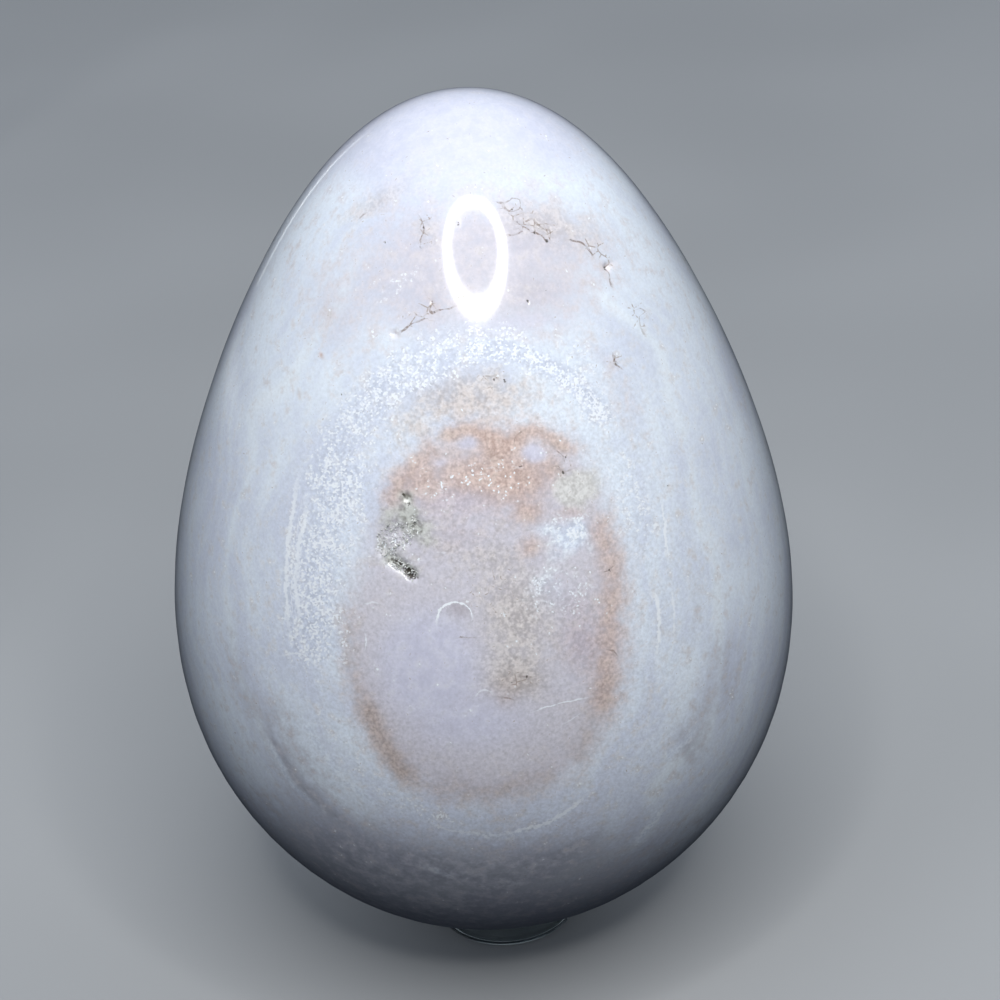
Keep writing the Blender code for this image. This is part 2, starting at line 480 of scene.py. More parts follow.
    def outer_stone(self) -> list[Mark]:
        """Return the pinkish clouds and the dusky streaks in the milky stone outside the eye, with painted
        shade that darkens its bottom and its top.
        """
        pink, dusk_and_painted_shade, ice = Mineral.PINK, Mineral.DUSK_AND_PAINTED_SHADE, Mineral.ICE
        return [
            Patch(pink, (0.5, 22.0), (13.5, 7.6), 0.8, edge=1.5),
            Patch(pink, (6.6, 25.4), (5.0, 2.2), 0.7, -14),
            Patch(pink, (5.2, 19.6), (3.2, 1.8), 0.6),
            Patch(pink, (-12.6, 19.0), (3.6, 6.4), 0.45, 24),
            Patch(pink, (13.0, 9.4), (2.2, 4.6), 0.4, 30),
            Patch(Mineral.BEIGE, (-8.0, 29.2), (4.6, 1.1), 0.75, 28),
            Patch(Mineral.BEIGE, (7.0, 26.0), (5.6, 2.4), 0.6, -14),
            Patch(Mineral.BEIGE, (-4.0, 25.8), (1.2, 2.2), 0.5),
            Patch(Mineral.BEIGE, (5.0, 19.9), (1.4, 1.0), 0.4),
            Patch(Mineral.LILAC, (2.6, 17.2), (8.0, 1.1), 0.5),
            Patch(Mineral.MAUVE, (11.4, 13.4), (2.4, 0.9), 0.4, -50),
            Patch(Mineral.MAUVE, (-14.6, -5.4), (0.9, 1.3), 0.5),
            Patch(Mineral.MAUVE, (-13.2, 1.0), (0.8, 0.8), 0.4),
            Band(dusk_and_painted_shade, ((-21.0, -13.0), (-20.4, -19.0), (-18.2, -24.0), (-14.4, -29.0)), 3.0, 0.5, 0.25),
            Band(dusk_and_painted_shade, ((-24.5, -6.0), (-23.8, -14.0), (-21.6, -21.0)), 1.6, 0.5, 0.3),
            Band(dusk_and_painted_shade, ((22.6, -9.0), (21.8, -15.0), (19.0, -21.5), (15.6, -26.4)), 2.8, 0.5, 0.25),
            Band(dusk_and_painted_shade, ((-10.0, -31.5), (-2.0, -33.8), (7.0, -32.4), (12.0, -29.4)), 2.0, 0.6, 0.2),
            Band(dusk_and_painted_shade, ((18.6, -3.0), (19.3, -9.0), (18.0, -15.0)), 0.8, 0.3, 0.3),
            # Painted shade: two broad dark patches over the bottom of the egg
            Patch(dusk_and_painted_shade, (0.0, -38.0), (30.0, 9.0), 0.85, edge=1.5),
            Patch(dusk_and_painted_shade, (-13.0, -33.0), (14.0, 5.4), 0.95, -25),
            # Painted shade: a broad lilac patch that darkens the top of the egg, where the light from above
            # falls strongest
            Patch(Mineral.LILAC, (-1.0, 35.0), (15.0, 7.0), 0.8, edge=1.2),
            Band(dusk_and_painted_shade, ((-21.9, -17.7), (-20.0, -22.1), (-17.1, -26.1), (-13.3, -29.6)), 0.6, 0.75, 0.2),
            Band(dusk_and_painted_shade, ((-11.4, -30.7), (-6.8, -32.5), (-0.2, -33.4), (5.5, -32.5), (10.3, -30.3)), 0.7, 0.7),
            Patch(dusk_and_painted_shade, (18.0, -22.6), (1.4, 2.6), 0.6, 20),
            Patch(dusk_and_painted_shade, (-22.6, 3.6), (0.7, 0.9), 0.3),
            Band(ice, ((-22.5, -17.3), (-20.9, -21.6), (-18.7, -25.1), (-15.1, -28.6)), 0.4, 0.62, 0.3),
            Band(ice, ((-18.1, -16.3), (-16.6, -20.6), (-13.9, -24.5), (-10.3, -27.6)), 0.5, 0.62, 0.2),
            Band(ice, ((-9.6, -31.7), (-5.0, -34.0), (0.7, -34.8), (6.5, -33.7)), 0.5, 0.55, 0.3),
            Band(ice, ((12.4, -32.6), (13.8, -31.0), (14.8, -29.7), (16.0, -28.6)), 0.4, 0.85, 0.2),
            Band(ice, ((14.2, -24.7), (16.4, -23.4), (18.2, -21.7), (19.8, -19.9)), 0.55, 0.6, 0.3),
            Band(ice, ((26.4, -10.0), (26.8, -13.5), (26.0, -16.3)), 0.5, 0.7, 0.3),
            Band(ice, ((19.7, -10.8), (19.4, -13.6), (19.6, -16.5)), 0.4, 0.5, 0.3),
        ]

    def halo(self) -> list[Mark]:
        """Return the fine white crystals round the eye, and the places inside it where glints are painted."""
        quartz, painted_glint = Mineral.QUARTZ, Mineral.PAINTED_GLINT
        upper_left = ((-15.4, 2.0), (-14.2, 5.0), (-12.2, 8.4), (-9.0, 11.6), (-5.0, 13.8), (-0.6, 14.7))
        upper_right = ((-1.6, 14.8), (1.9, 14.7), (4.6, 13.8), (7.2, 12.3), (9.4, 10.4), (11.2, 7.4))
        outer = ((-12.0, 10.8), (-9.0, 13.2), (-5.2, 15.6), (-1.6, 16.6), (2.4, 16.4), (6.0, 15.2))
        left = ((-11.2, 6.6), (-13.2, 2.6), (-14.9, -1.5), (-15.9, -6.0), (-16.1, -10.6), (-15.6, -14.0))
        right = ((12.0, 6.4), (13.0, 3.0), (13.8, -1.0), (14.2, -6.0))
        lower = ((-15.6, -12.0), (-16.0, -16.0), (-14.0, -21.0), (-10.4, -25.6), (-5.4, -27.9), (0.4, -28.4))
        return [
            Band(quartz, upper_left, 1.7, 0.72, 0.08),
            Band(quartz, upper_right, 1.1, 1.2, 0.06),
            Band(quartz, outer, 0.9, 0.45, 0.15),
            Band(quartz, ((-10.2, 7.8), (-8.2, 10.6), (-5.0, 12.2), (-1.6, 12.8)), 0.9, 0.55, 0.2),
            Band(quartz, left, 2.6, 0.85, 0.12),
            Band(quartz, right, 1.8, 0.42, 0.3),
            Band(quartz, lower, 1.5, 0.2, 0.2),
            Patch(quartz, (9.2, 13.6), (2.6, 1.4), 0.42, -45),
            Patch(quartz, (-6.8, 21.0), (3.0, 1.0), 0.25, 30),
            # Painted glints: where single grains are painted bright white
            Patch(painted_glint, (-0.6, 3.2), (4.8, 1.8), 1.0),
            Patch(painted_glint, (8.0, -1.6), (1.8, 1.0), 1.1),
            Patch(painted_glint, (6.2, -6.8), (3.4, 1.9), 0.9),
            Patch(painted_glint, (-8.4, -2.6), (1.8, 1.6), 1.3),
            Patch(painted_glint, (-9.6, 7.6), (2.4, 2.0), 0.7, 40),
            Patch(painted_glint, (9.0, 10.2), (3.2, 1.6), 1.0, -50),
            Patch(painted_glint, (-13.6, -8.4), (2.0, 4.0), 0.5),
        ]

    def veins(self) -> list[Mark]:
        """Return the open brown cracks and the places where a net of hair cracks joins them."""
        vein, net = Mineral.VEIN, Mineral.NET
        strong = [
            ((3.9, 26.2), (4.3, 25.9), (4.9, 25.5), (5.2, 25.2)),
            ((3.2, 25.0), (3.9, 25.0), (4.4, 25.2), (4.9, 25.5)),
            ((5.2, 25.0), (5.7, 25.1), (6.1, 24.8), (6.6, 24.2)),
            ((8.8, 24.4), (9.4, 24.3), (10.0, 24.1), (10.5, 23.7), (10.9, 22.9)),
            (
                (-4.3, 19.5), (-4.1, 19.1), (-4.3, 18.6), (-3.9, 18.3),
                (-3.4, 18.6), (-2.6, 18.6), (-1.9, 18.7),
            ),
            ((-4.5, 18.0), (-5.1, 17.7), (-5.8, 17.4), (-6.5, 16.9), (-7.1, 16.6)),
        ]
        faint = [
            (
                (3.0, 28.0), (3.5, 28.2), (3.8, 28.4), (4.4, 28.2), (4.5, 27.7),
                (4.3, 27.3), (3.7, 27.2), (3.1, 27.5), (3.0, 28.0),
            ),
            ((2.3, 28.2), (3.0, 28.0)),
            ((5.5, 26.4), (5.9, 25.9), (6.6, 25.4), (7.0, 25.4), (7.0, 24.8), (6.6, 24.2)),
            ((4.4, 25.9), (5.1, 26.2), (5.5, 26.4)),
            ((6.6, 25.4), (6.1, 24.8)),
            ((11.8, 22.1), (12.1, 21.8), (12.2, 21.5), (12.3, 20.7), (12.5, 20.0)),
            ((14.3, 17.8), (14.9, 18.0), (15.2, 18.3)),
            ((14.9, 18.0), (14.9, 17.0), (15.2, 16.0), (15.5, 15.8)),
            ((12.0, 14.1), (12.2, 13.3), (12.7, 12.8), (13.0, 12.5)),
            ((-4.6, 27.4), (-4.3, 26.8), (-4.3, 26.1), (-4.5, 25.3), (-4.7, 24.4)),
            ((-9.9, 27.5), (-9.4, 28.0)),
            ((0.4, 12.5), (1.0, 12.3), (1.4, 12.4), (1.7, 12.0)),
            ((6.4, 5.5), (7.0, 5.0), (7.2, 4.4)),
            ((6.4, 3.9), (7.0, 3.6), (7.7, 3.8)),
            ((2.7, 6.3), (2.9, 6.8), (3.5, 7.2)),
            ((10.3, -5.7), (10.8, -5.6), (11.2, -5.3)),
            ((-2.9, -11.0), (-2.2, -11.0), (-1.3, -11.15)),
            ((2.2, -14.75), (2.8, -14.85), (3.4, -14.9)),
            ((0.6, -16.6), (1.0, -16.7), (1.6, -16.95)),
            ((10.3, -12.7), (11.0, -13.0), (11.4, -13.5)),
        ]
        return [
            *(Crack(vein, points, 0.085, 0.95) for points in strong),
            *(Crack(vein, points, 0.07, 0.7) for points in faint),
            Band(net, ((3.4, 27.4), (5.4, 25.8), (7.4, 24.8)), 1.0, 0.7, 0.05),
            Band(net, ((10.0, 24.6), (11.4, 23.4), (12.4, 21.6)), 0.6, 0.9, 0.1),
            Band(net, ((-4.0, 27.6), (-4.6, 24.4)), 0.7, 0.6, 0.1),
            Band(net, ((-3.6, 19.4), (-4.8, 18.4), (-6.4, 17.2)), 0.6, 0.8, 0.1),
            Band(net, ((14.2, 19.0), (15.2, 16.2)), 0.7, 0.8, 0.1),
            Patch(net, (12.3, 13.2), (0.7, 0.8), 0.8),
            Patch(net, (1.0, 12.0), (1.4, 0.8), 0.5),
            Patch(net, (2.4, -15.2), (1.6, 0.8), 0.8),
            Patch(net, (6.6, 4.2), (1.2, 1.0), 0.7),
            Patch(net, (0.4, -6.6), (3.0, 3.4), 0.35),
        ]

    def healed_cracks(self) -> list[Mark]:
        """Return the healed cracks, which show as fine white lines, the two half moons, and the painted
        glints as white dots.
        """
        healed, shade = Mineral.HEALED, Mineral.SHADE
        lines: list[tuple[tuple[Point, ...], float, float]] = [
            (((3.1, -18.2), (4.4, -17.9), (5.8, -17.5), (7.2, -17.4), (8.5, -17.1)), 0.06, 0.9),
            (((6.0, -19.6), (7.0, -19.2), (7.9, -18.6)), 0.05, 0.45),
            (((-11.6, -10.2), (-11.5, -10.8), (-11.7, -11.7)), 0.07, 0.9),
            (((-11.6, -7.4), (-10.8, -7.4), (-10.2, -7.6)), 0.06, 0.5),
            (((10.9, 3.9), (11.4, 3.3), (11.8, 2.6)), 0.07, 0.5),
            (((-16.5, 5.0), (-17.6, 1.4), (-18.4, -2.7), (-18.7, -6.9), (-18.6, -10.6)), 0.2, 0.75),
            (((-16.2, 2.7), (-17.2, -1.9), (-17.8, -6.0), (-17.5, -9.9)), 0.24, 0.7),
            (((-19.9, -12.2), (-18.5, -11.9), (-17.3, -12.1), (-16.5, -13.0)), 0.09, 0.6),
            (((16.1, 0.7), (16.4, -2.3), (16.4, -5.0)), 0.14, 0.85),
            (((16.7, -7.6), (16.9, -9.6), (16.8, -12.5)), 0.1, 0.6),
            (((14.4, -7.7), (15.2, -8.8), (15.4, -11.4), (15.1, -14.2)), 0.2, 0.9),
            (((-7.5, -28.1), (-4.9, -29.2), (-2.6, -29.7), (0.8, -29.9)), 0.14, 0.4),
            (((-0.6, -29.9), (2.4, -29.5), (4.6, -28.9), (6.6, -27.6), (8.3, -26.2)), 0.17, 0.6),
            (((12.5, -32.3), (14.0, -30.6), (15.9, -28.7)), 0.25, 0.35),
        ]
        return [
            *(Crack(healed, points, width, strength, 0.2) for points, width, strength in lines),
            # Painted glints: bright white dots drawn as tiny healed cracks
            *(Crack(healed, ((x, y), (x + 0.01, y)), size, 1.0, 0.01) for x, y, size in self.PAINTED_GLINTS),
            Crack(healed, self.half_moon((-3.35, -9.45), 1.66, 0, 186), 0.09, 1.0, 0.1),
            Crack(healed, self.half_moon((-1.1, -17.0), 1.1, 40, 165), 0.07, 0.5, 0.2),
            Band(Mineral.ICE, ((-4.0, -29.4), (0.8, -30.0), (4.8, -28.8), (8.6, -26.0)), 0.6, 0.42, 0.2),
            Patch(shade, (-3.35, -8.6), (1.5, 1.0), 1.0, edge=1.2),
            Patch(shade, (-1.0, -16.4), (0.95, 0.6), 0.45),
        ]

    def half_moon(self, centre: Point, radius: float, first: float, last: float) -> tuple[Point, ...]:
        """Return points along the arc of a half moon crack.

        Args:
            centre: the arc's centre on the face plane
            radius: its radius, in millimetres
            first: the angle where it starts, in degrees
            last: the angle where it ends, in degrees

        Returns:
            Seven points along the arc.
        """
        turns = [math.radians(first + (last - first) * i / 6) for i in range(7)]
        return tuple((centre[0] + radius * math.cos(a), centre[1] + radius * math.sin(a)) for a in turns)

    def pits(self) -> list[Mark]:
        """Return the small dark specks, and the hollows that the druse lines."""
        speck, hollow = Mineral.SPECK, Mineral.HOLLOW
        large = [mark for mark in self.SPECKS if mark[2] > 0.19]
        return [
            *(Patch(speck, (x, y), (0.85 * size, 0.85 * size)) for x, y, size in self.SPECKS),
            *(Patch(hollow, (x, y), (size, size), 0.3) for x, y, size in large),
            Patch(speck, (-8.3, -4.0), (1.1, 0.42), 0.75, -35),
            Patch(speck, (-7.1, -5.0), (0.75, 0.5), 1.3, -40),
            Patch(speck, (-9.8, -3.0), (1.0, 0.22), 0.5, -20),
            Patch(hollow, (-8.2, -4.0), (1.3, 0.6), 0.9, -35),
            Patch(hollow, (-7.1, -5.0), (0.7, 0.5), 1.0, -40),
            Patch(hollow, (-9.4, -2.7), (1.1, 0.6), 0.5, -20),
            Patch(hollow, (-8.4, -1.6), (1.7, 1.5), 0.6),
            Patch(hollow, (-6.6, -0.6), (0.9, 1.2), 0.45),
            Patch(hollow, (-7.0, 1.9), (0.5, 0.45), 0.6),
            Patch(speck, (-7.0, 1.9), (0.4, 0.3), 0.6),
            Patch(hollow, (12.1, 22.0), (0.35, 0.4), 0.6),
            Patch(speck, (12.0, 22.15), (0.22, 0.22), 0.7),
            Patch(hollow, (-7.6, 16.5), (0.4, 0.35), 0.5),
        ]

    def paint(self, sheet: MarkSheet) -> None:
        """Lay every mark on the stone's skin."""
        depth = self.rim_depth(sheet.right, sheet.up)
        sheet.layers[Mineral.EYE] = np.where(sheet.front > 0, depth, -sheet.FAR)
        groups = (
            self.crown(), self.rust_rim(), self.druse_stains(), self.inner_stone(), self.outer_stone(),
            self.halo(), self.veins(), self.healed_cracks(), self.pits(),
        )
        for mark in (mark for group in groups for mark in group):
            mark.paint(sheet)


class NodeSheet:
    """The nodes of a material or a world, with short methods for the sums and textures they need."""

    SHADERS = ("Principled BSDF", "Background")

    def __init__(self, owner: bpy.types.Material | bpy.types.World) -> None:
        """Give a new material or world its nodes."""
        owner.use_nodes = True
        self.owner, self.tree = owner, owner.node_tree
        self.shader = next(node for node in self.tree.nodes if node.name in self.SHADERS)

    def add(self, kind: str, **settings: Any) -> bpy.types.Node:
        """Add a node.

        Args:
            kind: the end of the node type's name, after ShaderNode
            settings: what to set on it

        Returns:
            The node.
        """
        node = self.tree.nodes.new("ShaderNode" + kind)
        for name, value in settings.items():
            setattr(node, name, value)
        return node

    def feed(self, socket: bpy.types.NodeSocket, value: Any) -> None:
        """Link another socket into this one, or set this one to a plain value.

        Args:
            socket: the input
            value: an output socket, a number or several numbers
        """
        if isinstance(value, bpy.types.NodeSocket):
            self.tree.links.new(value, socket)
        elif isinstance(value, (tuple, list, Vector)) and socket.type == "RGBA":
            socket.default_value = (*value, 1.0)
        else:
            socket.default_value = value

    def set(self, **values: Any) -> None:
        """Feed the shader's own inputs, named with _ for each space."""
        for name, value in values.items():
            self.feed(self.shader.inputs[name.replace("_", " ")], value)

    def maths(self, operation: str, *values: Any, clamp: bool = False) -> bpy.types.NodeSocket:
        """Return the result of a Math node.

        Args:
            operation: the node's operation
            values: its inputs
            clamp: whether the result is kept between 0 and 1

        Returns:
            The result's socket.
        """
        node = self.add("Math", operation=operation, use_clamp=clamp)
        for socket, value in zip(node.inputs, values):
            self.feed(socket, value)
        return node.outputs[0]

    def vector(self, operation: str, *values: Any) -> bpy.types.NodeSocket:
        """Return the vector that a Vector Math node makes.

        Args:
            operation: the node's operation
            values: its inputs

        Returns:
            The vector's socket.
        """
        node = self.add("VectorMath", operation=operation)
        for socket, value in zip(node.inputs, values):
            self.feed(socket, value)
        return node.outputs["Vector"]

    def scaled(self, vector: Any, amount: Any) -> bpy.types.NodeSocket:
        """Return a vector or colour made longer or brighter by an amount."""
        node = self.add("VectorMath", operation="SCALE")
        self.feed(node.inputs[0], vector)
        self.feed(node.inputs["Scale"], amount)
        return node.outputs["Vector"]

    def join(self, *numbers: Any) -> bpy.types.NodeSocket:
        """Return a vector made of three numbers."""
        node = self.add("CombineXYZ")
        for socket, number in zip(node.inputs, numbers):
            self.feed(socket, number)
        return node.outputs[0]

    def length(self, vector: bpy.types.NodeSocket) -> bpy.types.NodeSocket:
        """Return the length of a vector."""
        node = self.add("VectorMath", operation="LENGTH")
        self.feed(node.inputs[0], vector)
        return node.outputs["Value"]

    def placed(self, vector: Any, location: Any, rotation: Any, scale: Any) -> bpy.types.NodeSocket:
        """Return places as measured from another origin, along other axes and in other units.

        Args:
            vector: the places
            location: the new origin
            rotation: the new axes, as Euler angles
            scale: the new units

        Returns:
            The places' socket.
        """
        node = self.add("Mapping", vector_type="TEXTURE")
        for socket, value in zip(node.inputs, (vector, location, rotation, scale)):
            self.feed(socket, value)
        return node.outputs[0]

    def noise(
        self, where: Any, scale: float, detail: float = 2.0, roughness: float = 0.5,
    ) -> bpy.types.NodeSocket:
        """Return soft noise of about 0.5.

        Args:
            where: the places
            scale: how fine the noise is
            detail: how many finer layers it has
            roughness: how strong the finer layers are

        Returns:
            The noise's socket.
        """
        node = self.add("TexNoise")
        self.feed(node.inputs["Vector"], where)
        node.inputs["Scale"].default_value = scale
        node.inputs["Detail"].default_value = detail
        node.inputs["Roughness"].default_value = roughness
        return node.outputs[0]

    def layers(self, height: Any, scale: float, detail: float = 2.0) -> bpy.types.NodeSocket:
        """Return noise of about 0.5 that changes with one number only, as growth bands do.

        Args:
            height: that number
            scale: how fine the noise is
            detail: how many finer layers it has

        Returns:
            The noise's socket.
        """
        node = self.add("TexNoise", noise_dimensions="1D")
        self.feed(node.inputs["W"], height)
        node.inputs["Scale"].default_value = scale
        node.inputs["Detail"].default_value = detail
        return node.outputs[0]

    def bent(self, where: Any, scale: float, amount: float) -> bpy.types.NodeSocket:
        """Return places pushed about by soft noise.

        Args:
            where: the places
            scale: how fine the noise is
            amount: how far it pushes them

        Returns:
            The pushed places' socket.
        """
        node = self.add("TexNoise")
        self.feed(node.inputs["Vector"], where)
        node.inputs["Scale"].default_value = scale
        node.inputs["Detail"].default_value = 0.0
        push = self.vector("SUBTRACT", node.outputs["Color"], (0.5, 0.5, 0.5))
        return self.vector("ADD", where, self.scaled(push, amount))

    def mosaic(self, flat: Any, scale: float) -> tuple[bpy.types.NodeSocket, ...]:
        """Return three random numbers from 0 to 1 for each grain of a mosaic on the face plane.

        Args:
            flat: the places on the face plane
            scale: how many grains there are in a unit

        Returns:
            The three numbers' sockets.
        """
        node = self.add("TexVoronoi", voronoi_dimensions="2D")
        self.feed(node.inputs["Vector"], flat)
        node.inputs["Scale"].default_value = scale
        lots = self.add("SeparateColor")
        self.feed(lots.inputs[0], node.outputs["Color"])
        return tuple(lots.outputs)

    def rise(
        self, value: Any, low: Any, high: Any, bottom: float = 0.0, top: float = 1.0,
    ) -> bpy.types.NodeSocket:
        """Return a smooth change from bottom to top while a value goes from low to high.

        Args:
            value: the value
            low: where the change starts
            high: where it ends
            bottom: the result up to low
            top: the result from high

        Returns:
            The result's socket.
        """
        node = self.add("MapRange", interpolation_type="SMOOTHSTEP")
        for socket, number in zip(node.inputs, (value, low, high, bottom, top)):
            self.feed(socket, number)
        return node.outputs[0]

    def tint(self, share: Any, first: Any, second: Any) -> bpy.types.NodeSocket:
        """Return the first colour with a share of the second one laid over it.

        Args:
            share: how much of the second colour shows
            first: the colour below
            second: the colour above

        Returns:
            The mixed colour's socket.
        """
        node = self.add("Mix", data_type="RGBA")
        for index, value in ((0, share), (6, first), (7, second)):
            self.feed(node.inputs[index], value)
        return node.outputs[2]

    def strength(self, name: str) -> bpy.types.NodeSocket:
        """Return a point attribute of the mesh."""
        return self.add("Attribute", attribute_name=name).outputs["Fac"]

    def bump(self, height: Any, depth: float, under: Any = None) -> bpy.types.NodeSocket:
        """Return the surface direction as a small relief tilts it.

        Args:
            height: the relief, from 0 to 1
            depth: what 1 stands for, in metres
            under: the direction that a coarser relief has tilted already

        Returns:
            The direction's socket.
        """
        node = self.add("Bump")
        node.inputs["Distance"].default_value = depth
        self.feed(node.inputs["Height"], height)
        if under is not None:
            self.feed(node.inputs["Normal"], under)
        return node.outputs[0]


@dataclass(frozen=True)
class EggShape:
    """The egg's turned shape and how it stands.

    Attributes:
        width: its widest place, in metres
        length: its length, from blunt end to pointed end
        lean: how far it leans towards +X in its ring, in radians
        taper, waist, shoulder: how its radius departs from an ellipse's, by powers of the height
        view_rise: how far the face plane looks up, in radians
    """

    width: float = 62.0 * MM
    length: float = 88.0 * MM
    lean: float = math.radians(2.5)
    taper: float = -0.267
    waist: float = -0.033
    shoulder: float = 0.118
    view_rise: float = math.radians(28)

    def relative_radius(self, turns: np.ndarray) -> np.ndarray:
        """Return the outline's radius at angles from the pointed end, before it has its real width."""
        height = np.cos(turns)
        fullness = 1 + self.taper * height + self.waist * height ** 2 + self.shoulder * height ** 3
        return np.sin(turns) * fullness

    def profile(self, turns: np.ndarray) -> tuple[np.ndarray, np.ndarray]:
        """Return the egg's outline.

        Args:
            turns: angles from the pointed end, 0, to the blunt end, pi

        Returns:
            The radius and the height above the egg's centre at each angle, in metres.
        """
        widest = self.relative_radius(np.linspace(0, math.pi, 2001)).max()
        radius = self.relative_radius(turns) * self.width / 2 / widest
        return radius, np.cos(turns) * self.length / 2

    def face_turn(self) -> Matrix:
        """Return the turn from the face plane's axes, right, away and up, to the egg's own frame."""
        return Matrix.Rotation(-self.view_rise, 3, "X")

    def lean_turn(self) -> Matrix:
        """Return the turn from the egg's own frame to the row's frame."""
        return Matrix.Rotation(self.lean, 3, "Y")


@dataclass(frozen=True)
class Stain:
    """How one mineral colours the stone.

    Attributes:
        mineral: the mineral
        deep: its darker tone
        pale: its lighter tone
        start: the strength at which it begins to show
        full: the strength at which it shows fully
        cover: how much of the ground it then hides
        ragged: how much noise breaks up its edge
        fine: whether its two tones change within a part of a millimetre
    """

    mineral: Mineral
    deep: Colour
    pale: Colour
    start: float = 0.1
    full: float = 0.8
    cover: float = 0.85
    ragged: float = 1.0
    fine: bool = False


@dataclass(frozen=True)
class PolishedStone:
    """The finish of the milky stone, its eye and its marks.

    Attributes:
        centre: the egg's centre, in metres
        axes: the face plane's axes in the row's frame
        ground_deep, ground_pale, ground_white: the milky stone's own tones
        eye_ground: the stone inside the eye
        shell_middle: the middle of the growth bands, in millimetres on the face plane's axes
        shell_radii: the size of the band at the halo
        stains: the minerals, from the lowest one up
        vein, hair, speck, bright: the tones of the thin lines and the specks
        roughness, hollow_roughness: how dull the stone is under its gloss, and in the hollows
        gloss: how dull the polish is
        glow, glow_depth, glow_colour: how light spreads below the skin
    """

    # How much noise adds to a thin line's width, and the width it starts from
    WIDTHS = {Mineral.VEIN: (4.6, -1.4), Mineral.HEALED: (3.4, -0.8)}

    centre: Vector
    axes: Matrix
    ground_deep: Colour = (0.67, 0.72, 0.84)
    ground_pale: Colour = (0.78, 0.85, 0.94)
    ground_white: Colour = (0.84, 0.90, 0.95)
    eye_ground: Colour = (0.63, 0.60, 0.66)
    shell_middle: Colour = (-1.5, -22.0, -7.5)
    shell_radii: Colour = (15.0, 16.0, 21.0)
    stains: tuple[Stain, ...] = (
        # Dusky streaks, and painted shade that darkens the bottom of the egg
        Stain(Mineral.DUSK_AND_PAINTED_SHADE, (0.28, 0.28, 0.34), (0.48, 0.49, 0.57), 0.1, 1.0, 0.75, 1.4),
        Stain(Mineral.PINK, (0.56, 0.53, 0.59), (0.67, 0.64, 0.70), 0.05, 0.9, 0.88),
        Stain(Mineral.BEIGE, (0.47, 0.43, 0.42), (0.72, 0.68, 0.66), 0.0, 1.1, 0.85, 0.9, True),
        Stain(Mineral.MAUVE, (0.48, 0.40, 0.45), (0.63, 0.55, 0.60), 0.0, 1.1, 0.8, 0.9, True),
        Stain(Mineral.QUARTZ, (0.57, 0.62, 0.74), (0.73, 0.79, 0.90), 0.05, 0.9, 0.85, 1.0, True),
        Stain(Mineral.SHADE, (0.38, 0.34, 0.37), (0.46, 0.42, 0.45), 0.1, 1.1, 0.7, 0.2),
        Stain(Mineral.IRON, (0.53, 0.37, 0.31), (0.70, 0.55, 0.49), -0.1, 1.35, 0.92, 1.1, True),
        Stain(Mineral.RUST, (0.36, 0.27, 0.22), (0.54, 0.44, 0.39), -0.05, 1.2, 0.9, 0.7, True),
        Stain(Mineral.LILAC, (0.60, 0.61, 0.75), (0.69, 0.70, 0.83), 0.05, 0.9, 0.85, 0.6),
        Stain(Mineral.CREAM, (0.61, 0.60, 0.57), (0.75, 0.75, 0.73), 0.1, 1.0, 0.85, 0.8, True),
        Stain(Mineral.ICE, (0.64, 0.71, 0.84), (0.82, 0.89, 0.98), 0.15, 0.9, 0.9, 1.0, True),
        Stain(Mineral.OLIVE, (0.27, 0.27, 0.23), (0.58, 0.60, 0.56), 0.0, 1.0, 0.88, 1.2, True),
    )
    vein: Colour = (0.20, 0.14, 0.11)
    hair: Colour = (0.32, 0.26, 0.22)
    speck: Colour = (0.05, 0.04, 0.03)
    # vein, hair, speck, bright: the tones of the thin lines and the specks; bright is also the white of the
    # painted glints
    bright: Colour = (0.91, 0.95, 1.0)
    roughness: float = 0.38
    hollow_roughness: float = 0.6
    gloss: float = 0.1
    glow: float = 0.25
    glow_depth: float = 1.2 * MM
    glow_colour: Colour = (1.0, 0.92, 0.95)

    def line(self, sheet: NodeSheet, mineral: Mineral, wobble: Any) -> bpy.types.NodeSocket:
        """Return where the thin lines of a mineral show, from their two sides.

        Args:
            sheet: the nodes
            mineral: the mineral
            wobble: noise that makes the lines thicker and thinner

        Returns:
            The lines' socket, from 0 to 1.
        """
        side = sheet.maths("ABSOLUTE", sheet.strength(mineral.side_name()))
        swing, start = self.WIDTHS[mineral]
        width = sheet.maths("MULTIPLY_ADD", wobble, swing, start)
        edge = sheet.rise(sheet.maths("SUBTRACT", side, width), 0.5, -0.5)
        return sheet.maths("MULTIPLY", sheet.strength(mineral.value), edge)

    def ground(self, sheet: NodeSheet, clouds: Any, mottle: Any, shell: Any) -> bpy.types.NodeSocket:
        """Return the milky stone's colour, with its growth bands and clouds.

        Args:
            sheet: the nodes
            clouds: broad noise
            mottle: finer noise
            shell: the growth band that each place is in, 1 at the halo

        Returns:
            The colour's socket.
        """
        bands, streaks = sheet.layers(shell, 5.0, 1.0), sheet.layers(shell, 15.0, 2.0)
        depth = sheet.maths("MULTIPLY_ADD", bands, 0.3, sheet.maths("MULTIPLY", streaks, 0.13))
        depth = sheet.maths("MULTIPLY_ADD", clouds, 0.57, depth)
        depth = sheet.maths("MULTIPLY_ADD", sheet.maths("SUBTRACT", mottle, 0.5), 0.35, depth)
        colour = sheet.tint(sheet.rise(depth, 0.36, 0.60), self.ground_deep, self.ground_pale)
        whiter = sheet.maths("MULTIPLY", sheet.rise(bands, 0.5, 0.8), sheet.rise(clouds, 0.35, 0.65))
        return sheet.tint(sheet.maths("MULTIPLY", whiter, 0.6), colour, self.ground_white)

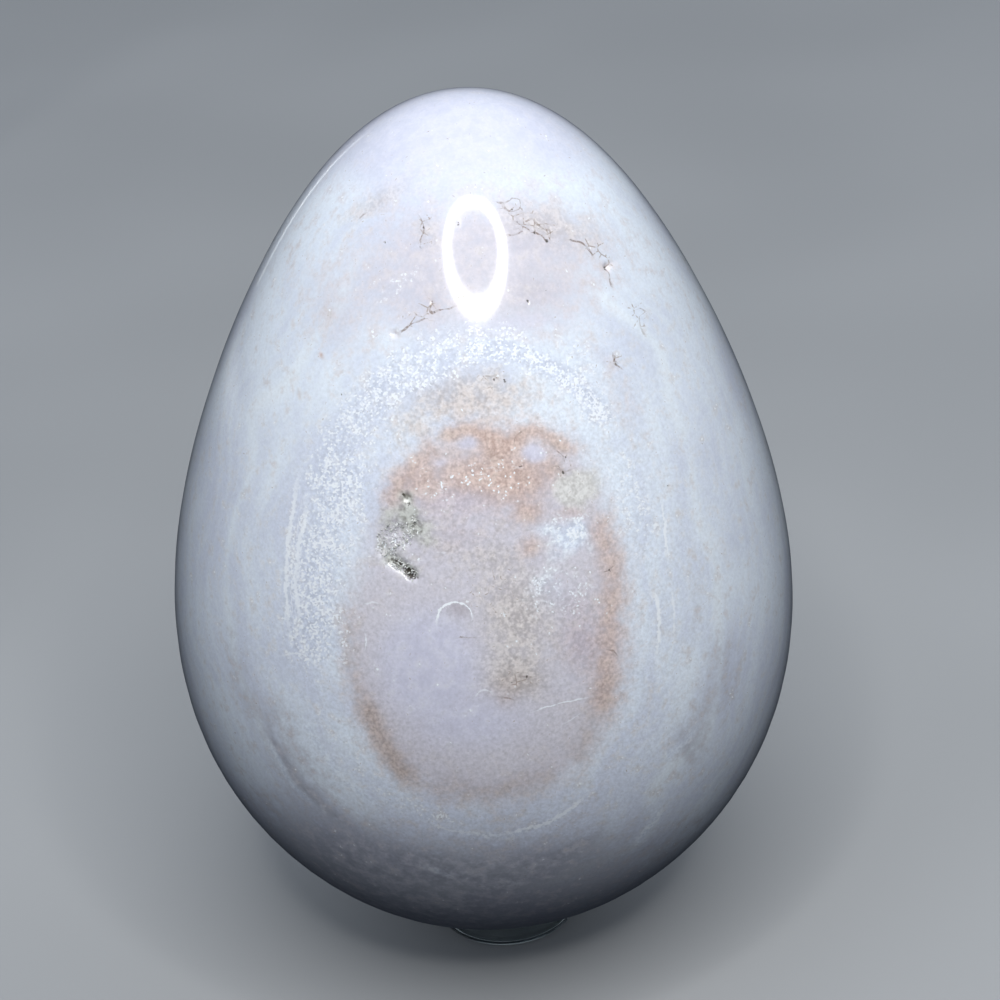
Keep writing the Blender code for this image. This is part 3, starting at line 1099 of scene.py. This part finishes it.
    def net(self, sheet: NodeSheet, flat: Any, grain: Any) -> bpy.types.NodeSocket:
        """Return the hair cracks: a fine net, broken up, in the places painted for it.

        Args:
            sheet: the nodes
            flat: the places on the face plane, in millimetres
            grain: fine noise that breaks the lines up

        Returns:
            The net's socket, from 0 to 1.
        """
        cells = sheet.add("TexVoronoi", voronoi_dimensions="2D", feature="DISTANCE_TO_EDGE")
        sheet.feed(cells.inputs["Vector"], flat)
        cells.inputs["Scale"].default_value = 1.05
        lines = sheet.rise(cells.outputs["Distance"], 0.09, 0.02)
        level = sheet.maths("MULTIPLY_ADD", grain, 2.4, sheet.strength(Mineral.NET.value))
        return sheet.maths("MULTIPLY", lines, sheet.rise(level, 1.5, 2.1, 0.0, 0.8))

    def crystals(
        self, sheet: NodeSheet, colour: Any, lots: Sequence[Any], mottle: Any,
    ) -> bpy.types.NodeSocket:
        """Lay the halo's white grains over the stone, and the painted glints: grains painted bright white
        where the stone glitters.

        Args:
            sheet: the nodes
            colour: the colour below
            lots: two random numbers for each small grain of the stone
            mottle: noise that gathers the grains in clumps

        Returns:
            The colour's socket.
        """
        quartz, painted_glint = sheet.strength(Mineral.QUARTZ.value), sheet.strength(Mineral.PAINTED_GLINT.value)
        level = sheet.maths("MULTIPLY_ADD", quartz, 0.48, lots[0])
        level = sheet.maths("MULTIPLY_ADD", sheet.maths("SUBTRACT", mottle, 0.5), 1.3, level)
        grains = sheet.rise(level, 0.92, 1.22, 0.0, 0.9)
        grains = sheet.maths("MULTIPLY", grains, sheet.rise(quartz, 0.03, 0.2))
        colour = sheet.tint(grains, colour, self.bright)
        # Painted glints: single grains painted bright white where the stone glitters
        level = sheet.maths("MULTIPLY_ADD", painted_glint, 0.15, lots[1])
        level = sheet.maths("MULTIPLY_ADD", sheet.maths("SUBTRACT", mottle, 0.55), 0.5, level)
        return sheet.tint(sheet.rise(level, 0.99, 1.06, 0.0, 0.95), colour, self.bright)

    def build(self) -> bpy.types.Material:
        """Return the finish."""
        sheet = NodeSheet(bpy.data.materials.new("polished_stone_finish"))
        coordinates = sheet.add("TexCoord").outputs["Object"]
        place = sheet.placed(coordinates, self.centre, self.axes.to_euler(), (MM, MM, MM))
        parts = sheet.add("SeparateXYZ")
        sheet.feed(parts.inputs[0], place)
        flat = sheet.join(parts.outputs[0], parts.outputs[2], 0.0)
        warped = sheet.bent(place, 0.12, 6.0)
        shell = sheet.length(sheet.placed(warped, self.shell_middle, (0, 0, 0), self.shell_radii))
        clouds = sheet.noise(warped, 0.09, 1.0, 0.5)
        mottle = sheet.noise(place, 0.8, 3.0, 0.6)
        grain = sheet.noise(place, 2.8, 1.0, 0.6)
        lots = sheet.mosaic(flat, 6.0)

        colour = self.ground(sheet, clouds, mottle, shell)
        inside = sheet.strength(Mineral.EYE.value)
        eye = sheet.maths("MULTIPLY_ADD", mottle, 3.0, inside)
        colour = sheet.tint(sheet.rise(eye, -0.5, 3.5, 0.0, 0.85), colour, self.eye_ground)
        ragged = sheet.maths("SUBTRACT", mottle, 0.5)
        swirl = sheet.rise(mottle, 0.34, 0.66)
        fine = sheet.rise(sheet.maths("MULTIPLY_ADD", grain, 0.6, mottle), 0.64, 0.96)
        for stain in self.stains:
            level = sheet.maths("MULTIPLY_ADD", ragged, stain.ragged, sheet.strength(stain.mineral.value))
            share = sheet.rise(level, stain.start, stain.full, 0.0, stain.cover)
            tone = sheet.tint(fine if stain.fine else swirl, stain.deep, stain.pale)
            colour = sheet.tint(share, colour, tone)

        busy = sheet.rise(inside, -14.0, 0.5, 0.4, 1.0)
        calm = sheet.rise(sheet.strength(Mineral.LILAC.value), 0.2, 1.2, 1.0, 0.4)
        busy = sheet.maths("MULTIPLY", busy, calm)
        speckle = sheet.maths("MULTIPLY_ADD", sheet.maths("SUBTRACT", grain, 0.5), 5.0, lots[2])
        shade = sheet.maths("MULTIPLY", sheet.maths("SUBTRACT", speckle, 0.5), 0.09)
        colour = sheet.scaled(colour, sheet.maths("MULTIPLY_ADD", shade, busy, 1.0))
        colour = self.crystals(sheet, colour, lots, mottle)

        colour = sheet.tint(self.net(sheet, flat, grain), colour, self.hair)
        broken = sheet.rise(grain, 0.36, 0.58, 0.25, 0.85)
        veins = sheet.maths("MULTIPLY", self.line(sheet, Mineral.VEIN, mottle), broken)
        colour = sheet.tint(veins, colour, self.vein)
        uneven = sheet.maths("SUBTRACT", lots[1], 0.5)
        level = sheet.maths("MULTIPLY_ADD", uneven, 0.5, sheet.strength(Mineral.SPECK.value))
        colour = sheet.tint(sheet.rise(level, 0.45, 0.8, 0.0, 0.9), colour, self.speck)
        stray = sheet.rise(mottle, 0.77, 0.84, 0.0, 0.22)
        colour = sheet.tint(stray, colour, self.hair)
        healed = self.line(sheet, Mineral.HEALED, grain)
        colour = sheet.tint(healed, colour, self.bright)

        hollow = sheet.rise(sheet.strength(Mineral.HOLLOW.value), 0.2, 0.7)
        sheet.shader.subsurface_method = "BURLEY"
        sheet.set(
            Base_Color=colour,
            Roughness=sheet.rise(hollow, 0.0, 1.0, self.roughness, self.hollow_roughness),
            Specular_IOR_Level=0.1,
            Subsurface_Weight=self.glow,
            Subsurface_Radius=self.glow_colour,
            Subsurface_Scale=self.glow_depth,
            Coat_Weight=sheet.rise(hollow, 0.0, 1.0, 1.0, 0.1),
            Coat_Roughness=self.gloss,
        )
        return sheet.owner


@dataclass(frozen=True)
class DruseQuartz:
    """The finish of the small clear crystal points in the hollow."""

    deep: Colour = (0.62, 0.64, 0.60)
    pale: Colour = (0.94, 0.96, 0.96)
    clearness: float = 0.2

    def build(self) -> bpy.types.Material:
        """Return the finish."""
        sheet = NodeSheet(bpy.data.materials.new("druse_quartz_finish"))
        coordinates = sheet.add("TexCoord").outputs["Object"]
        cloud = sheet.noise(coordinates, 1.6 / MM, 2.0, 0.6)
        sheet.set(
            Base_Color=sheet.tint(sheet.rise(cloud, 0.35, 0.65), self.deep, self.pale),
            Roughness=sheet.rise(cloud, 0.3, 0.7, 0.05, 0.22),
            IOR=1.54,
            Transmission_Weight=self.clearness,
            Normal=sheet.bump(sheet.noise(coordinates, 6.0 / MM, 2.0), 0.01 * MM),
        )
        return sheet.owner


@dataclass(frozen=True)
class ClearRing:
    """The finish of the clear moulded ring: slightly cool, with faint handling marks."""

    tone: Colour = (0.93, 0.975, 0.97)
    faint: Colour = (0.86, 0.93, 0.925)

    def build(self) -> bpy.types.Material:
        """Return the finish."""
        sheet = NodeSheet(bpy.data.materials.new("clear_ring_finish"))
        coordinates = sheet.add("TexCoord").outputs["Object"]
        haze = sheet.noise(coordinates, 0.35 / MM, 3.0, 0.6)
        drawn_out = sheet.placed(coordinates, (0, 0, 0), (0, 0, 0), (1, 1, 0.15))
        scuffs = sheet.noise(drawn_out, 1.8 / MM, 3.0, 0.7)
        sheet.set(
            Base_Color=sheet.tint(sheet.rise(haze, 0.3, 0.75), self.tone, self.faint),
            Roughness=sheet.rise(scuffs, 0.45, 0.75, 0.02, 0.10),
            IOR=1.49,
            Transmission_Weight=1.0,
            Normal=sheet.bump(haze, 0.02 * MM),
        )
        return sheet.owner


@dataclass(frozen=True)
class PaleFloor:
    """The studio's plain pale paper."""

    deep: Colour = (0.35, 0.36, 0.37)
    pale: Colour = (0.38, 0.39, 0.40)

    def build(self) -> bpy.types.Material:
        """Return the finish."""
        sheet = NodeSheet(bpy.data.materials.new("pale_paper"))
        coordinates = sheet.add("TexCoord").outputs["Object"]
        mottle = sheet.noise(coordinates, 14.0, 1.0)
        sheet.set(
            Base_Color=sheet.tint(sheet.rise(mottle, 0.3, 0.7), self.deep, self.pale),
            Roughness=0.75,
            Specular_IOR_Level=0.25,
        )
        return sheet.owner


@dataclass(frozen=True)
class Lamp:
    """The finish of a lamp's glowing face.

    Attributes:
        name: the finish's name
        colour: the colour of its light
        power: how strongly it glows
        soft: whether it only shines in the polish, and fades out as its mesh says
    """

    FADE = "fade"

    name: str
    colour: Colour
    power: float
    soft: bool = False

    def build(self) -> bpy.types.Material:
        """Return the finish: a soft one glows as strongly as its mesh's fade says, in the polish only."""
        sheet = NodeSheet(bpy.data.materials.new(self.name))
        power = sheet.maths("MULTIPLY", sheet.strength(self.FADE), self.power) if self.soft else self.power
        sheet.set(Base_Color=(0.0, 0.0, 0.0), Emission_Color=self.colour, Emission_Strength=power)
        if self.soft:
            sheet.owner.cycles.emission_sampling = "NONE"
        return sheet.owner


def new_piece(
    name: str, points: Sequence[Any], faces: Sequence[Any], finish: bpy.types.Material,
) -> bpy.types.Object:
    """Make a smooth mesh object in the row's frame and dress it.

    Args:
        name: the object's name
        points: its points, in metres
        faces: its faces, as point numbers
        finish: its material

    Returns:
        The object, linked to the scene.
    """
    mesh = bpy.data.meshes.new(name)
    mesh.from_pydata(points, [], faces)
    mesh.shade_smooth()
    mesh.materials.append(finish)
    piece = bpy.data.objects.new(name, mesh)
    bpy.context.scene.collection.objects.link(piece)
    return piece


def turned(
    section: Sequence[Point], steps: int, closed: bool, centre: Point = (0.0, 0.0),
) -> tuple[list, list]:
    """Turn a half outline round an upright axis.

    Args:
        section: radius and height of each point, in metres; going down its outer side is outwards
        steps: how many times it is repeated round the axis
        closed: whether the outline joins up with its own start
        centre: where the axis stands

    Returns:
        The points and the faces.
    """
    count = len(section)
    points = []
    for step in range(steps):
        turn = math.tau * step / steps
        for radius, height in section:
            points.append((centre[0] + radius * math.cos(turn), centre[1] + radius * math.sin(turn), height))
    faces = []
    for step in range(steps):
        here, there = step * count, (step + 1) % steps * count
        for i in range(count if closed else count - 1):
            following = (i + 1) % count
            faces.append((here + i, here + following, there + following, there + i))
    return points, faces


@dataclass
class StoneEgg:
    """The egg: one fine mesh with its relief, its marks and its finish.

    Attributes:
        shape: its turned shape
        marks: the marks on its front
        front: half the angle of the finely divided front, in degrees
        front_columns, back_columns: how many columns the front and the rest have
        rows: how many rows there are down to each angle from the pointed end, in degrees
        hollow_depth: how deep the hollows go, in millimetres
        polish: how far the polished skin waves in and out
    """

    shape: EggShape = field(default_factory=EggShape)
    marks: EyeMarks = field(default_factory=EyeMarks)
    front: float = 45.0
    front_columns: int = 250
    back_columns: int = 66
    rows: tuple[tuple[float, int], ...] = ((28.0, 12), (122.0, 270), (180.0, 20))
    hollow_depth: float = 0.45
    polish: float = 0.010

    def column_turns(self) -> np.ndarray:
        """Return each column's angle from the front towards +X, starting and ending at the back."""
        side = self.back_columns // 2
        back = np.linspace(-180, -self.front, side, endpoint=False)
        front = np.linspace(-self.front, self.front, self.front_columns, endpoint=False)
        rest = np.linspace(self.front, 180, side, endpoint=False)
        return np.radians(np.concatenate([back, front, rest]))

    def row_turns(self) -> np.ndarray:
        """Return each row's angle from the pointed end, both ends left out."""
        turns, start = [], 0.0
        for end, count in self.rows:
            turns.append(np.linspace(start, end, count, endpoint=False))
            start = end
        return np.radians(np.concatenate(turns)[1:])

    def skin(self) -> tuple[np.ndarray, np.ndarray]:
        """Return the smooth egg's points and outward directions, in its own frame, in metres."""
        turns = np.concatenate([[0.0], self.row_turns(), [math.pi]])
        radius, height = self.shape.profile(turns)
        slope_radius = np.gradient(radius, turns)
        slope_height = np.gradient(height, turns)
        columns = self.column_turns()
        across, ahead = np.sin(columns), -np.cos(columns)
        inner = slice(1, -1)
        points = np.stack([
            np.outer(radius[inner], across), np.outer(radius[inner], ahead),
            np.repeat(height[inner, None], len(columns), 1),
        ], -1).reshape(-1, 3)
        outward = np.stack([
            np.outer(-slope_height[inner], across), np.outer(-slope_height[inner], ahead),
            np.repeat(slope_radius[inner, None], len(columns), 1),
        ], -1).reshape(-1, 3)
        outward /= np.linalg.norm(outward, axis=1, keepdims=True)
        ends = np.array([[0, 0, height[0]], [0, 0, height[-1]]])
        return np.vstack([points, ends]), np.vstack([outward, [[0, 0, 1], [0, 0, -1]]])

    def faces(self) -> list[tuple[int, ...]]:
        """Return the faces, with the top's and the bottom's fans last."""
        rows, columns = len(self.row_turns()), len(self.column_turns())
        faces: list[tuple[int, ...]] = []
        for row in range(rows - 1):
            for column in range(columns):
                here, beside = row * columns + column, row * columns + (column + 1) % columns
                faces.append((here, here + columns, beside + columns, beside))
        top, bottom, last = rows * columns, rows * columns + 1, (rows - 1) * columns
        faces += [(top, column, (column + 1) % columns) for column in range(columns)]
        faces += [(bottom, last + (column + 1) % columns, last + column) for column in range(columns)]
        return faces

    def bake_map(self, mesh: bpy.types.Mesh) -> None:
        """Lay the skin out flat by rows and columns, so that the finely divided front gets the most room."""
        rows, columns = len(self.row_turns()), len(self.column_turns())
        row, column = np.mgrid[0:rows - 1, 0:columns]
        corners = ((0, 0), (1, 0), (1, 1), (0, 1))
        across = np.stack([(column + right) / columns for _, right in corners], -1)
        down = np.stack([(row + 1 + below) / (rows + 1) for below, _ in corners], -1)
        quads = np.stack([across, 1 - down], -1).reshape(-1, 2)
        steps = np.arange(columns)
        edge = 1 / (rows + 1)
        fan = [np.stack([steps + 0.5, steps, steps + 1], -1), np.stack([steps + 0.5, steps + 1, steps], -1)]
        heights = ((1.0, 1 - edge, 1 - edge), (0.0, edge, edge))
        fans = [
            np.stack([across / columns, np.broadcast_to(height, across.shape)], -1).reshape(-1, 2)
            for across, height in zip(fan, heights)
        ]
        layer = mesh.uv_layers.new(name=BAKE_MAP)
        layer.data.foreach_set("uv", np.vstack([quads, *fans]).astype(np.float32).ravel())

    def warp(self, points: np.ndarray) -> np.ndarray:
        """Return how far growth has pushed the marks about at each point, in millimetres."""
        pushes = []
        for point in points / MM:
            place = Vector(point)
            pushes.append(0.22 * noise.noise_vector(place * 0.3) + 0.14 * noise.noise_vector(place * 1.1))
        return np.array(pushes)

    def roughen(self, points: np.ndarray, scale: float) -> np.ndarray:
        """Return soft noise from -1 to 1 at each point.

        Args:
            points: the points, in metres
            scale: how many bumps there are in a millimetre

        Returns:
            The noise at each point.
        """
        return np.array([noise.noise(Vector(point) * (scale / MM)) for point in points])

    def build(self) -> tuple[bpy.types.Object, np.ndarray, np.ndarray, MarkSheet]:
        """Make the egg.

        Returns:
            The egg, its points and outward directions in the row's frame, and its marks.
        """
        points, outward = self.skin()
        faces_up = np.array(self.shape.face_turn().transposed())
        places = points @ faces_up.T / MM
        push = self.warp(points)
        sheet = MarkSheet(places[:, 0] + push[:, 0], places[:, 2] + push[:, 2], -places[:, 1])
        self.marks.paint(sheet)

        hollow = ease(sheet.layers[Mineral.HOLLOW], 0.05, 0.8)
        rough = np.zeros(len(points))
        deep = hollow > 0
        rough[deep] = self.roughen(points[deep], 2.6)
        relief = -self.hollow_depth * hollow * (0.75 + 0.45 * rough)
        relief += self.polish * self.roughen(points, 0.13)

        lean = np.array(self.shape.lean_turn())
        points = (points + outward * relief[:, None] * MM) @ lean.T
        outward = outward @ lean.T
        low, high = (np.array(corner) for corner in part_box("egg"))
        points += (low + high) / 2 - (points.min(0) + points.max(0)) / 2

        finish = PolishedStone(Vector(self.centre(points)), self.shape.lean_turn() @ self.shape.face_turn())
        egg = new_piece("jasper_egg", points.tolist(), self.faces(), finish.build())
        self.bake_map(egg.data)
        for name, values in sheet.attributes().items():
            attribute = egg.data.attributes.new(name, "FLOAT", "POINT")
            attribute.data.foreach_set("value", values.astype(np.float32))
        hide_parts("egg")
        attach(egg, BODY)
        return egg, points, outward, sheet

    def centre(self, points: np.ndarray) -> np.ndarray:
        """Return the egg's centre, halfway between its two ends, which are the last two points."""
        return (points[-1] + points[-2]) / 2


@dataclass
class DruseCrystals:
    """Tiny six-sided quartz points that line the hollow.

    Attributes:
        count: how many there are
        lengths: the shortest and the longest one, in millimetres
        slender: the width as a share of the length
        splay: how far they lean from the surface's direction
        seed: what their places are drawn with
    """

    count: int = 260
    lengths: Point = (0.16, 0.44)
    slender: float = 0.36
    splay: float = 0.55
    seed: int = 7

    def crystal(self, base: Vector, along: Vector, length: float, turn: float) -> tuple[list, list]:
        """Return one crystal: a six-sided prism with a pointed end.

        Args:
            base: the middle of its foot, in metres
            along: the direction of its point
            length: its length, in metres
            turn: how far it is turned round its own axis, in radians

        Returns:
            Its points and its faces.
        """
        side = along.orthogonal().normalized()
        other = along.cross(side)
        radius = length * self.slender / 2
        points = []
        for height in (0.0, 0.62):
            for corner in range(6):
                angle = turn + math.tau * corner / 6
                across = (side * math.cos(angle) + other * math.sin(angle)) * radius
                points.append(base + along * length * height + across)
        points.append(base + along * length)
        faces: list[tuple[int, ...]] = [tuple(range(5, -1, -1))]
        for corner in range(6):
            following = (corner + 1) % 6
            faces.append((corner, following, following + 6, corner + 6))
            faces.append((corner + 6, following + 6, 12))
        return points, faces

    def build(self, points: np.ndarray, outward: np.ndarray, sheet: MarkSheet) -> bpy.types.Object:
        """Make the crystals on the hollow's floor.

        Args:
            points: the egg's points, in metres
            outward: the egg's outward directions
            sheet: the egg's marks, which say where the hollow is

        Returns:
            The crystals, as one joined mesh.
        """
        draw = random.Random(self.seed)
        right, up = sheet.right, sheet.up
        near = (right > -11) & (right < -5.0) & (up > -6) & (up < 0.6)
        chosen = np.flatnonzero(near & (sheet.layers[Mineral.HOLLOW] > 0.3))
        weights = sheet.layers[Mineral.HOLLOW][chosen] ** 0.7
        made: list[Vector] = []
        faces: list[tuple[int, ...]] = []
        for index in draw.choices(chosen.tolist(), weights.tolist(), k=self.count):
            jitter = Vector([draw.uniform(-0.08, 0.08) * MM for _ in range(3)])
            lean = Vector([draw.gauss(0, self.splay) for _ in range(3)])
            direction = Vector(outward[index])
            along = (direction + lean).normalized()
            length = draw.uniform(*self.lengths) * MM
            base = Vector(points[index]) + jitter - direction * 0.06 * MM
            corners, sides = self.crystal(base, along, length, draw.uniform(0, math.tau))
            faces += [tuple(corner + len(made) for corner in face) for face in sides]
            made += corners
        crystals = new_piece("druse_crystals", made, faces, DruseQuartz().build())
        crystals.data.shade_flat()
        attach(crystals, BODY)
        return crystals


@dataclass
class RingStand:
    """The clear ring that the egg rests in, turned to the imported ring's size.

    Attributes:
        wall: the ring's thickness, from bore to outside, in metres
        foot_chamfer, bore_chamfer: the cut corners at the bottom
        soft_edge: how round the lower corners are
        steps: how many times the section is repeated round the axis
        rim_points: how many points the half-round rim has
    """

    wall: float = 2.0 * MM
    foot_chamfer: float = 0.45 * MM
    bore_chamfer: float = 0.2 * MM
    soft_edge: float = 0.09 * MM
    steps: int = 144
    rim_points: int = 22

    def softened(self, corners: Sequence[Point]) -> list[Point]:
        """Return an open outline with its inner corners rounded.

        Args:
            corners: the outline's corners; the first and last ones stay

        Returns:
            The outline's points.
        """
        outline = [corners[0]]
        for before, corner, after in zip(corners, corners[1:], corners[2:]):
            here = Vector(corner)
            back = (Vector(before) - here).normalized() * self.soft_edge
            on = (Vector(after) - here).normalized() * self.soft_edge
            for share in (0.0, 0.25, 0.5, 0.75, 1.0):
                outline.append(tuple(here + back * (1 - share) ** 2 + on * share ** 2))
        outline.append(corners[-1])
        return outline

    def section(self, outer: float, top: float) -> list[Point]:
        """Return the ring's section: a half-round rim and a foot with cut corners.

        Args:
            outer: the ring's outer radius
            top: its height

        Returns:
            Radius and height of each point.
        """
        rim, inner = self.wall / 2, outer - self.wall
        turns = [math.pi * (1 - i / (self.rim_points - 1)) for i in range(self.rim_points)]
        curve = [(inner + rim + rim * math.cos(turn), top - rim + rim * math.sin(turn)) for turn in turns]
        foot = self.softened([
            curve[-1], (outer, self.foot_chamfer), (outer - self.foot_chamfer, 0.0),
            (inner + self.bore_chamfer, 0.0), (inner, self.bore_chamfer), curve[0],
        ])
        return curve + foot[1:-1]

    def build(self) -> bpy.types.Object:
        """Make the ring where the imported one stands."""
        low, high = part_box("ring_stand")
        centre = ((low.x + high.x) / 2, (low.y + high.y) / 2)
        points, faces = turned(self.section((high.x - low.x) / 2, high.z), self.steps, True, centre)
        ring = new_piece("clear_ring_stand", points, faces, ClearRing().build())
        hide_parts("ring_stand")
        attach(ring, BODY)
        return ring


def direction(rise: float, turn: float) -> Vector:
    """Return the direction at an angle above the horizon and one from the front towards +X, in degrees."""
    level, height = math.cos(math.radians(rise)), math.sin(math.radians(rise))
    return Vector((level * math.sin(math.radians(turn)), -level * math.cos(math.radians(turn)), height))


@dataclass
class Studio:
    """The pale floor, the ring lamp above the front, low glows at the sides and soft light from above.

    The floor shows, but gives no light back to the stone, whose underside is as dark as in the photograph.

    Attributes:
        middle: what the lamps point at, in metres
        floor_radius, wall_radius, wall_height: the floor's flat part and the wall that it sweeps up to
        ring_rise, ring_turn, ring_distance: where the ring lamp is, in degrees and metres
        ring_radii: the ring lamp's inner and outer radius
        glow_distance: how far the low glows are from the egg's middle
        ring_glow, side_glow: how the lamps shine
        sky_low, sky_high: the soft light from below and from above
        sky_span: the heights between which one turns into the other, from -1 to 1
    """

    middle: Vector
    floor_radius: float = 0.50
    wall_radius: float = 0.90
    wall_height: float = 0.55
    ring_rise: float = 55.3
    ring_turn: float = 7.0
    ring_distance: float = 0.40
    ring_radii: Point = (0.086, 0.114)
    glow_distance: float = 0.18
    ring_glow: Lamp = Lamp("ring_lamp_glow", (1.0, 0.99, 0.97), 25.0)
    side_glow: Lamp = Lamp("side_glow", (0.92, 0.98, 1.0), 1.0, True)
    sky_low: Colour = (0.015, 0.018, 0.024)
    sky_high: Colour = (0.58, 0.63, 0.70)
    sky_span: Point = (-0.25, 0.65)

    def floor(self) -> bpy.types.Object:
        """Make the floor, which sweeps up into a wall all round."""
        bend = self.wall_radius - self.floor_radius
        section = [(0.0005, 0.0), (self.floor_radius / 3, 0.0), (self.floor_radius, 0.0)]
        for i in range(1, 13):
            turn = math.pi / 2 * i / 12
            section.append((self.floor_radius + bend * math.sin(turn), bend * (1 - math.cos(turn))))
        section.append((self.wall_radius, self.wall_height))
        points, faces = turned(section[::-1], 96, False)
        floor = new_piece("pale_floor", points, faces, PaleFloor().build())
        floor.visible_diffuse = floor.visible_glossy = False
        return floor

    def lamp(self, name: str, points: Sequence[Any], faces: Sequence[Any], glow: Lamp) -> bpy.types.Object:
        """Make a lamp that lights the stone and shines in its polish, but isn't itself in the picture.

        Args:
            name: its name
            points: its points, in metres
            faces: its faces, as point numbers
            glow: how it shines

        Returns:
            The lamp.
        """
        lamp = new_piece(name, points, faces, glow.build())
        lamp.visible_camera = False
        return lamp

    def ring_lamp(self) -> bpy.types.Object:
        """Make the ring lamp."""
        steps = 64
        toward = direction(self.ring_rise, self.ring_turn)
        turn = (-toward).to_track_quat("-Z", "Y").to_matrix()
        centre = self.middle + toward * self.ring_distance
        points = []
        for step in range(steps):
            angle = math.tau * step / steps
            for radius in self.ring_radii:
                points.append(centre + turn @ Vector((radius * math.cos(angle), radius * math.sin(angle), 0)))
        faces = [
            (2 * step, 2 * step + 1, 2 * ((step + 1) % steps) + 1, 2 * ((step + 1) % steps))
            for step in range(steps)
        ]
        return self.lamp("ring_lamp", points, faces, self.ring_glow)

    def low_glow(self, name: str, start: Point, end: Point, height: float, power: float) -> bpy.types.Object:
        """Make a pale panel low at one side, which fades out at its edges and only shines in the polish.

        Args:
            name: its name
            start: where its middle line starts: its turn from the front towards +X and its rise above
                the egg's middle, in degrees
            end: where its middle line ends
            height: how high it is, in degrees
            power: how strongly it shines in its middle

        Returns:
            The panel.
        """
        steps, sides = 12, 6
        points, faces, fades = [], [], []
        for step in range(steps + 1):
            turn, rise = (start[i] + (end[i] - start[i]) * step / steps for i in range(2))
            for side in range(sides + 1):
                up = rise + (side / sides - 0.5) * height
                points.append(self.middle + direction(up, turn) * self.glow_distance)
                fade = math.sin(math.pi * step / steps) * math.sin(math.pi * side / sides)
                fades.append(power * fade ** 1.5)
        for step in range(steps):
            for side in range(sides):
                here = step * (sides + 1) + side
                faces.append((here, here + 1, here + sides + 2, here + sides + 1))
        panel = self.lamp(name, points, faces, self.side_glow)
        panel.visible_diffuse = False
        fade = panel.data.attributes.new(Lamp.FADE, "FLOAT", "POINT")
        fade.data.foreach_set("value", fades)
        return panel

    def soft_light(self) -> None:
        """Light the studio from all round, mostly from above."""
        world = bpy.data.worlds.new("soft_light")
        sheet = NodeSheet(world)
        parts = sheet.add("SeparateXYZ")
        sheet.feed(parts.inputs[0], sheet.add("TexCoord").outputs["Generated"])
        share = sheet.rise(parts.outputs[2], *self.sky_span)
        sheet.set(Color=sheet.tint(share, self.sky_low, self.sky_high), Strength=1.0)
        bpy.context.scene.world = world

    def build(self) -> None:
        """Make the floor and the lights."""
        self.floor()
        self.ring_lamp()
        self.low_glow("left_glow", (-150.0, -5.0), (-106.0, 5.5), 7.0, 0.6)
        self.low_glow("back_glow", (-160.0, 26.0), (-146.0, -6.0), 6.0, 3.0)
        self.low_glow("right_glow", (84.0, 15.0), (104.0, 1.0), 11.0, 0.6)
        self.soft_light()
        bpy.context.scene.view_settings.view_transform = "Standard"


@dataclass(frozen=True)
class PhotoCamera:
    """The camera, where the photograph was taken from.

    Attributes:
        middle: the egg's centre, in metres
        distance: how far the camera is from it
        rise: how far above the horizon it is, in degrees
        roll: how far the picture is turned, in degrees
        focal_pixels: the focal length in pixels of a picture 1000 pixels wide
        middle_pixel: where the egg's centre shows
        picture: the picture's width and height, in pixels
        sensor: the sensor's width, in millimetres
    """

    middle: Vector
    distance: float = 0.300
    rise: float = 28.0
    roll: float = -5.23
    focal_pixels: float = 3016.0
    middle_pixel: Point = (480.6, 515.1)
    picture: float = 1000.0
    sensor: float = 36.0

    def build(self) -> bpy.types.Object:
        """Make the camera and make it the scene's own."""
        away = direction(self.rise, 0.0)
        right = Vector((1, 0, 0))
        up = right.cross(-away)
        roll = math.radians(self.roll)
        across = right * math.cos(roll) + up * math.sin(roll)
        upright = up * math.cos(roll) - right * math.sin(roll)
        half = self.picture / 2
        aim = (
            -away + across * (half - self.middle_pixel[0]) / self.focal_pixels
            - upright * (half - self.middle_pixel[1]) / self.focal_pixels
        ).normalized()
        across = (across - aim * across.dot(aim)).normalized()
        turn = Matrix((across, across.cross(aim), -aim)).transposed()
        data = bpy.data.cameras.new("photo_camera")
        data.sensor_width = self.sensor
        data.lens = self.focal_pixels / self.picture * self.sensor
        data.clip_start = 0.01
        camera = bpy.data.objects.new("photo_camera", data)
        camera.matrix_world = Matrix.Translation(self.middle + away * self.distance) @ turn.to_4x4()
        bpy.context.scene.collection.objects.link(camera)
        bpy.context.scene.camera = camera
        return camera


def corners(box: Sequence[Sequence[float]]) -> list[list[float]]:
    """Return a box's two corners as plain lists of numbers."""
    return [[float(number) for number in corner] for corner in box]


def main() -> None:
    """Build the egg, its crystals, its ring, the studio and the camera, in that order."""
    logging.basicConfig(level=logging.INFO, format="%(name)s: %(message)s")
    stone = StoneEgg()
    egg, points, outward, sheet = stone.build()
    LOG.info("%s: %d points", egg.name, len(egg.data.vertices))
    crystals = DruseCrystals().build(points, outward, sheet)
    LOG.info("%s: %d points", crystals.name, len(crystals.data.vertices))
    ring = RingStand().build()
    LOG.info("%s: %d points", ring.name, len(ring.data.vertices))
    middle = Vector(stone.centre(points))
    Studio(middle).build()
    LOG.info("studio: floor, ring lamp, low glows and soft light")
    camera = PhotoCamera(middle).build()
    LOG.info("%s: %.1f mm lens", camera.name, camera.data.lens)


if __name__ == "__main__":
    main()
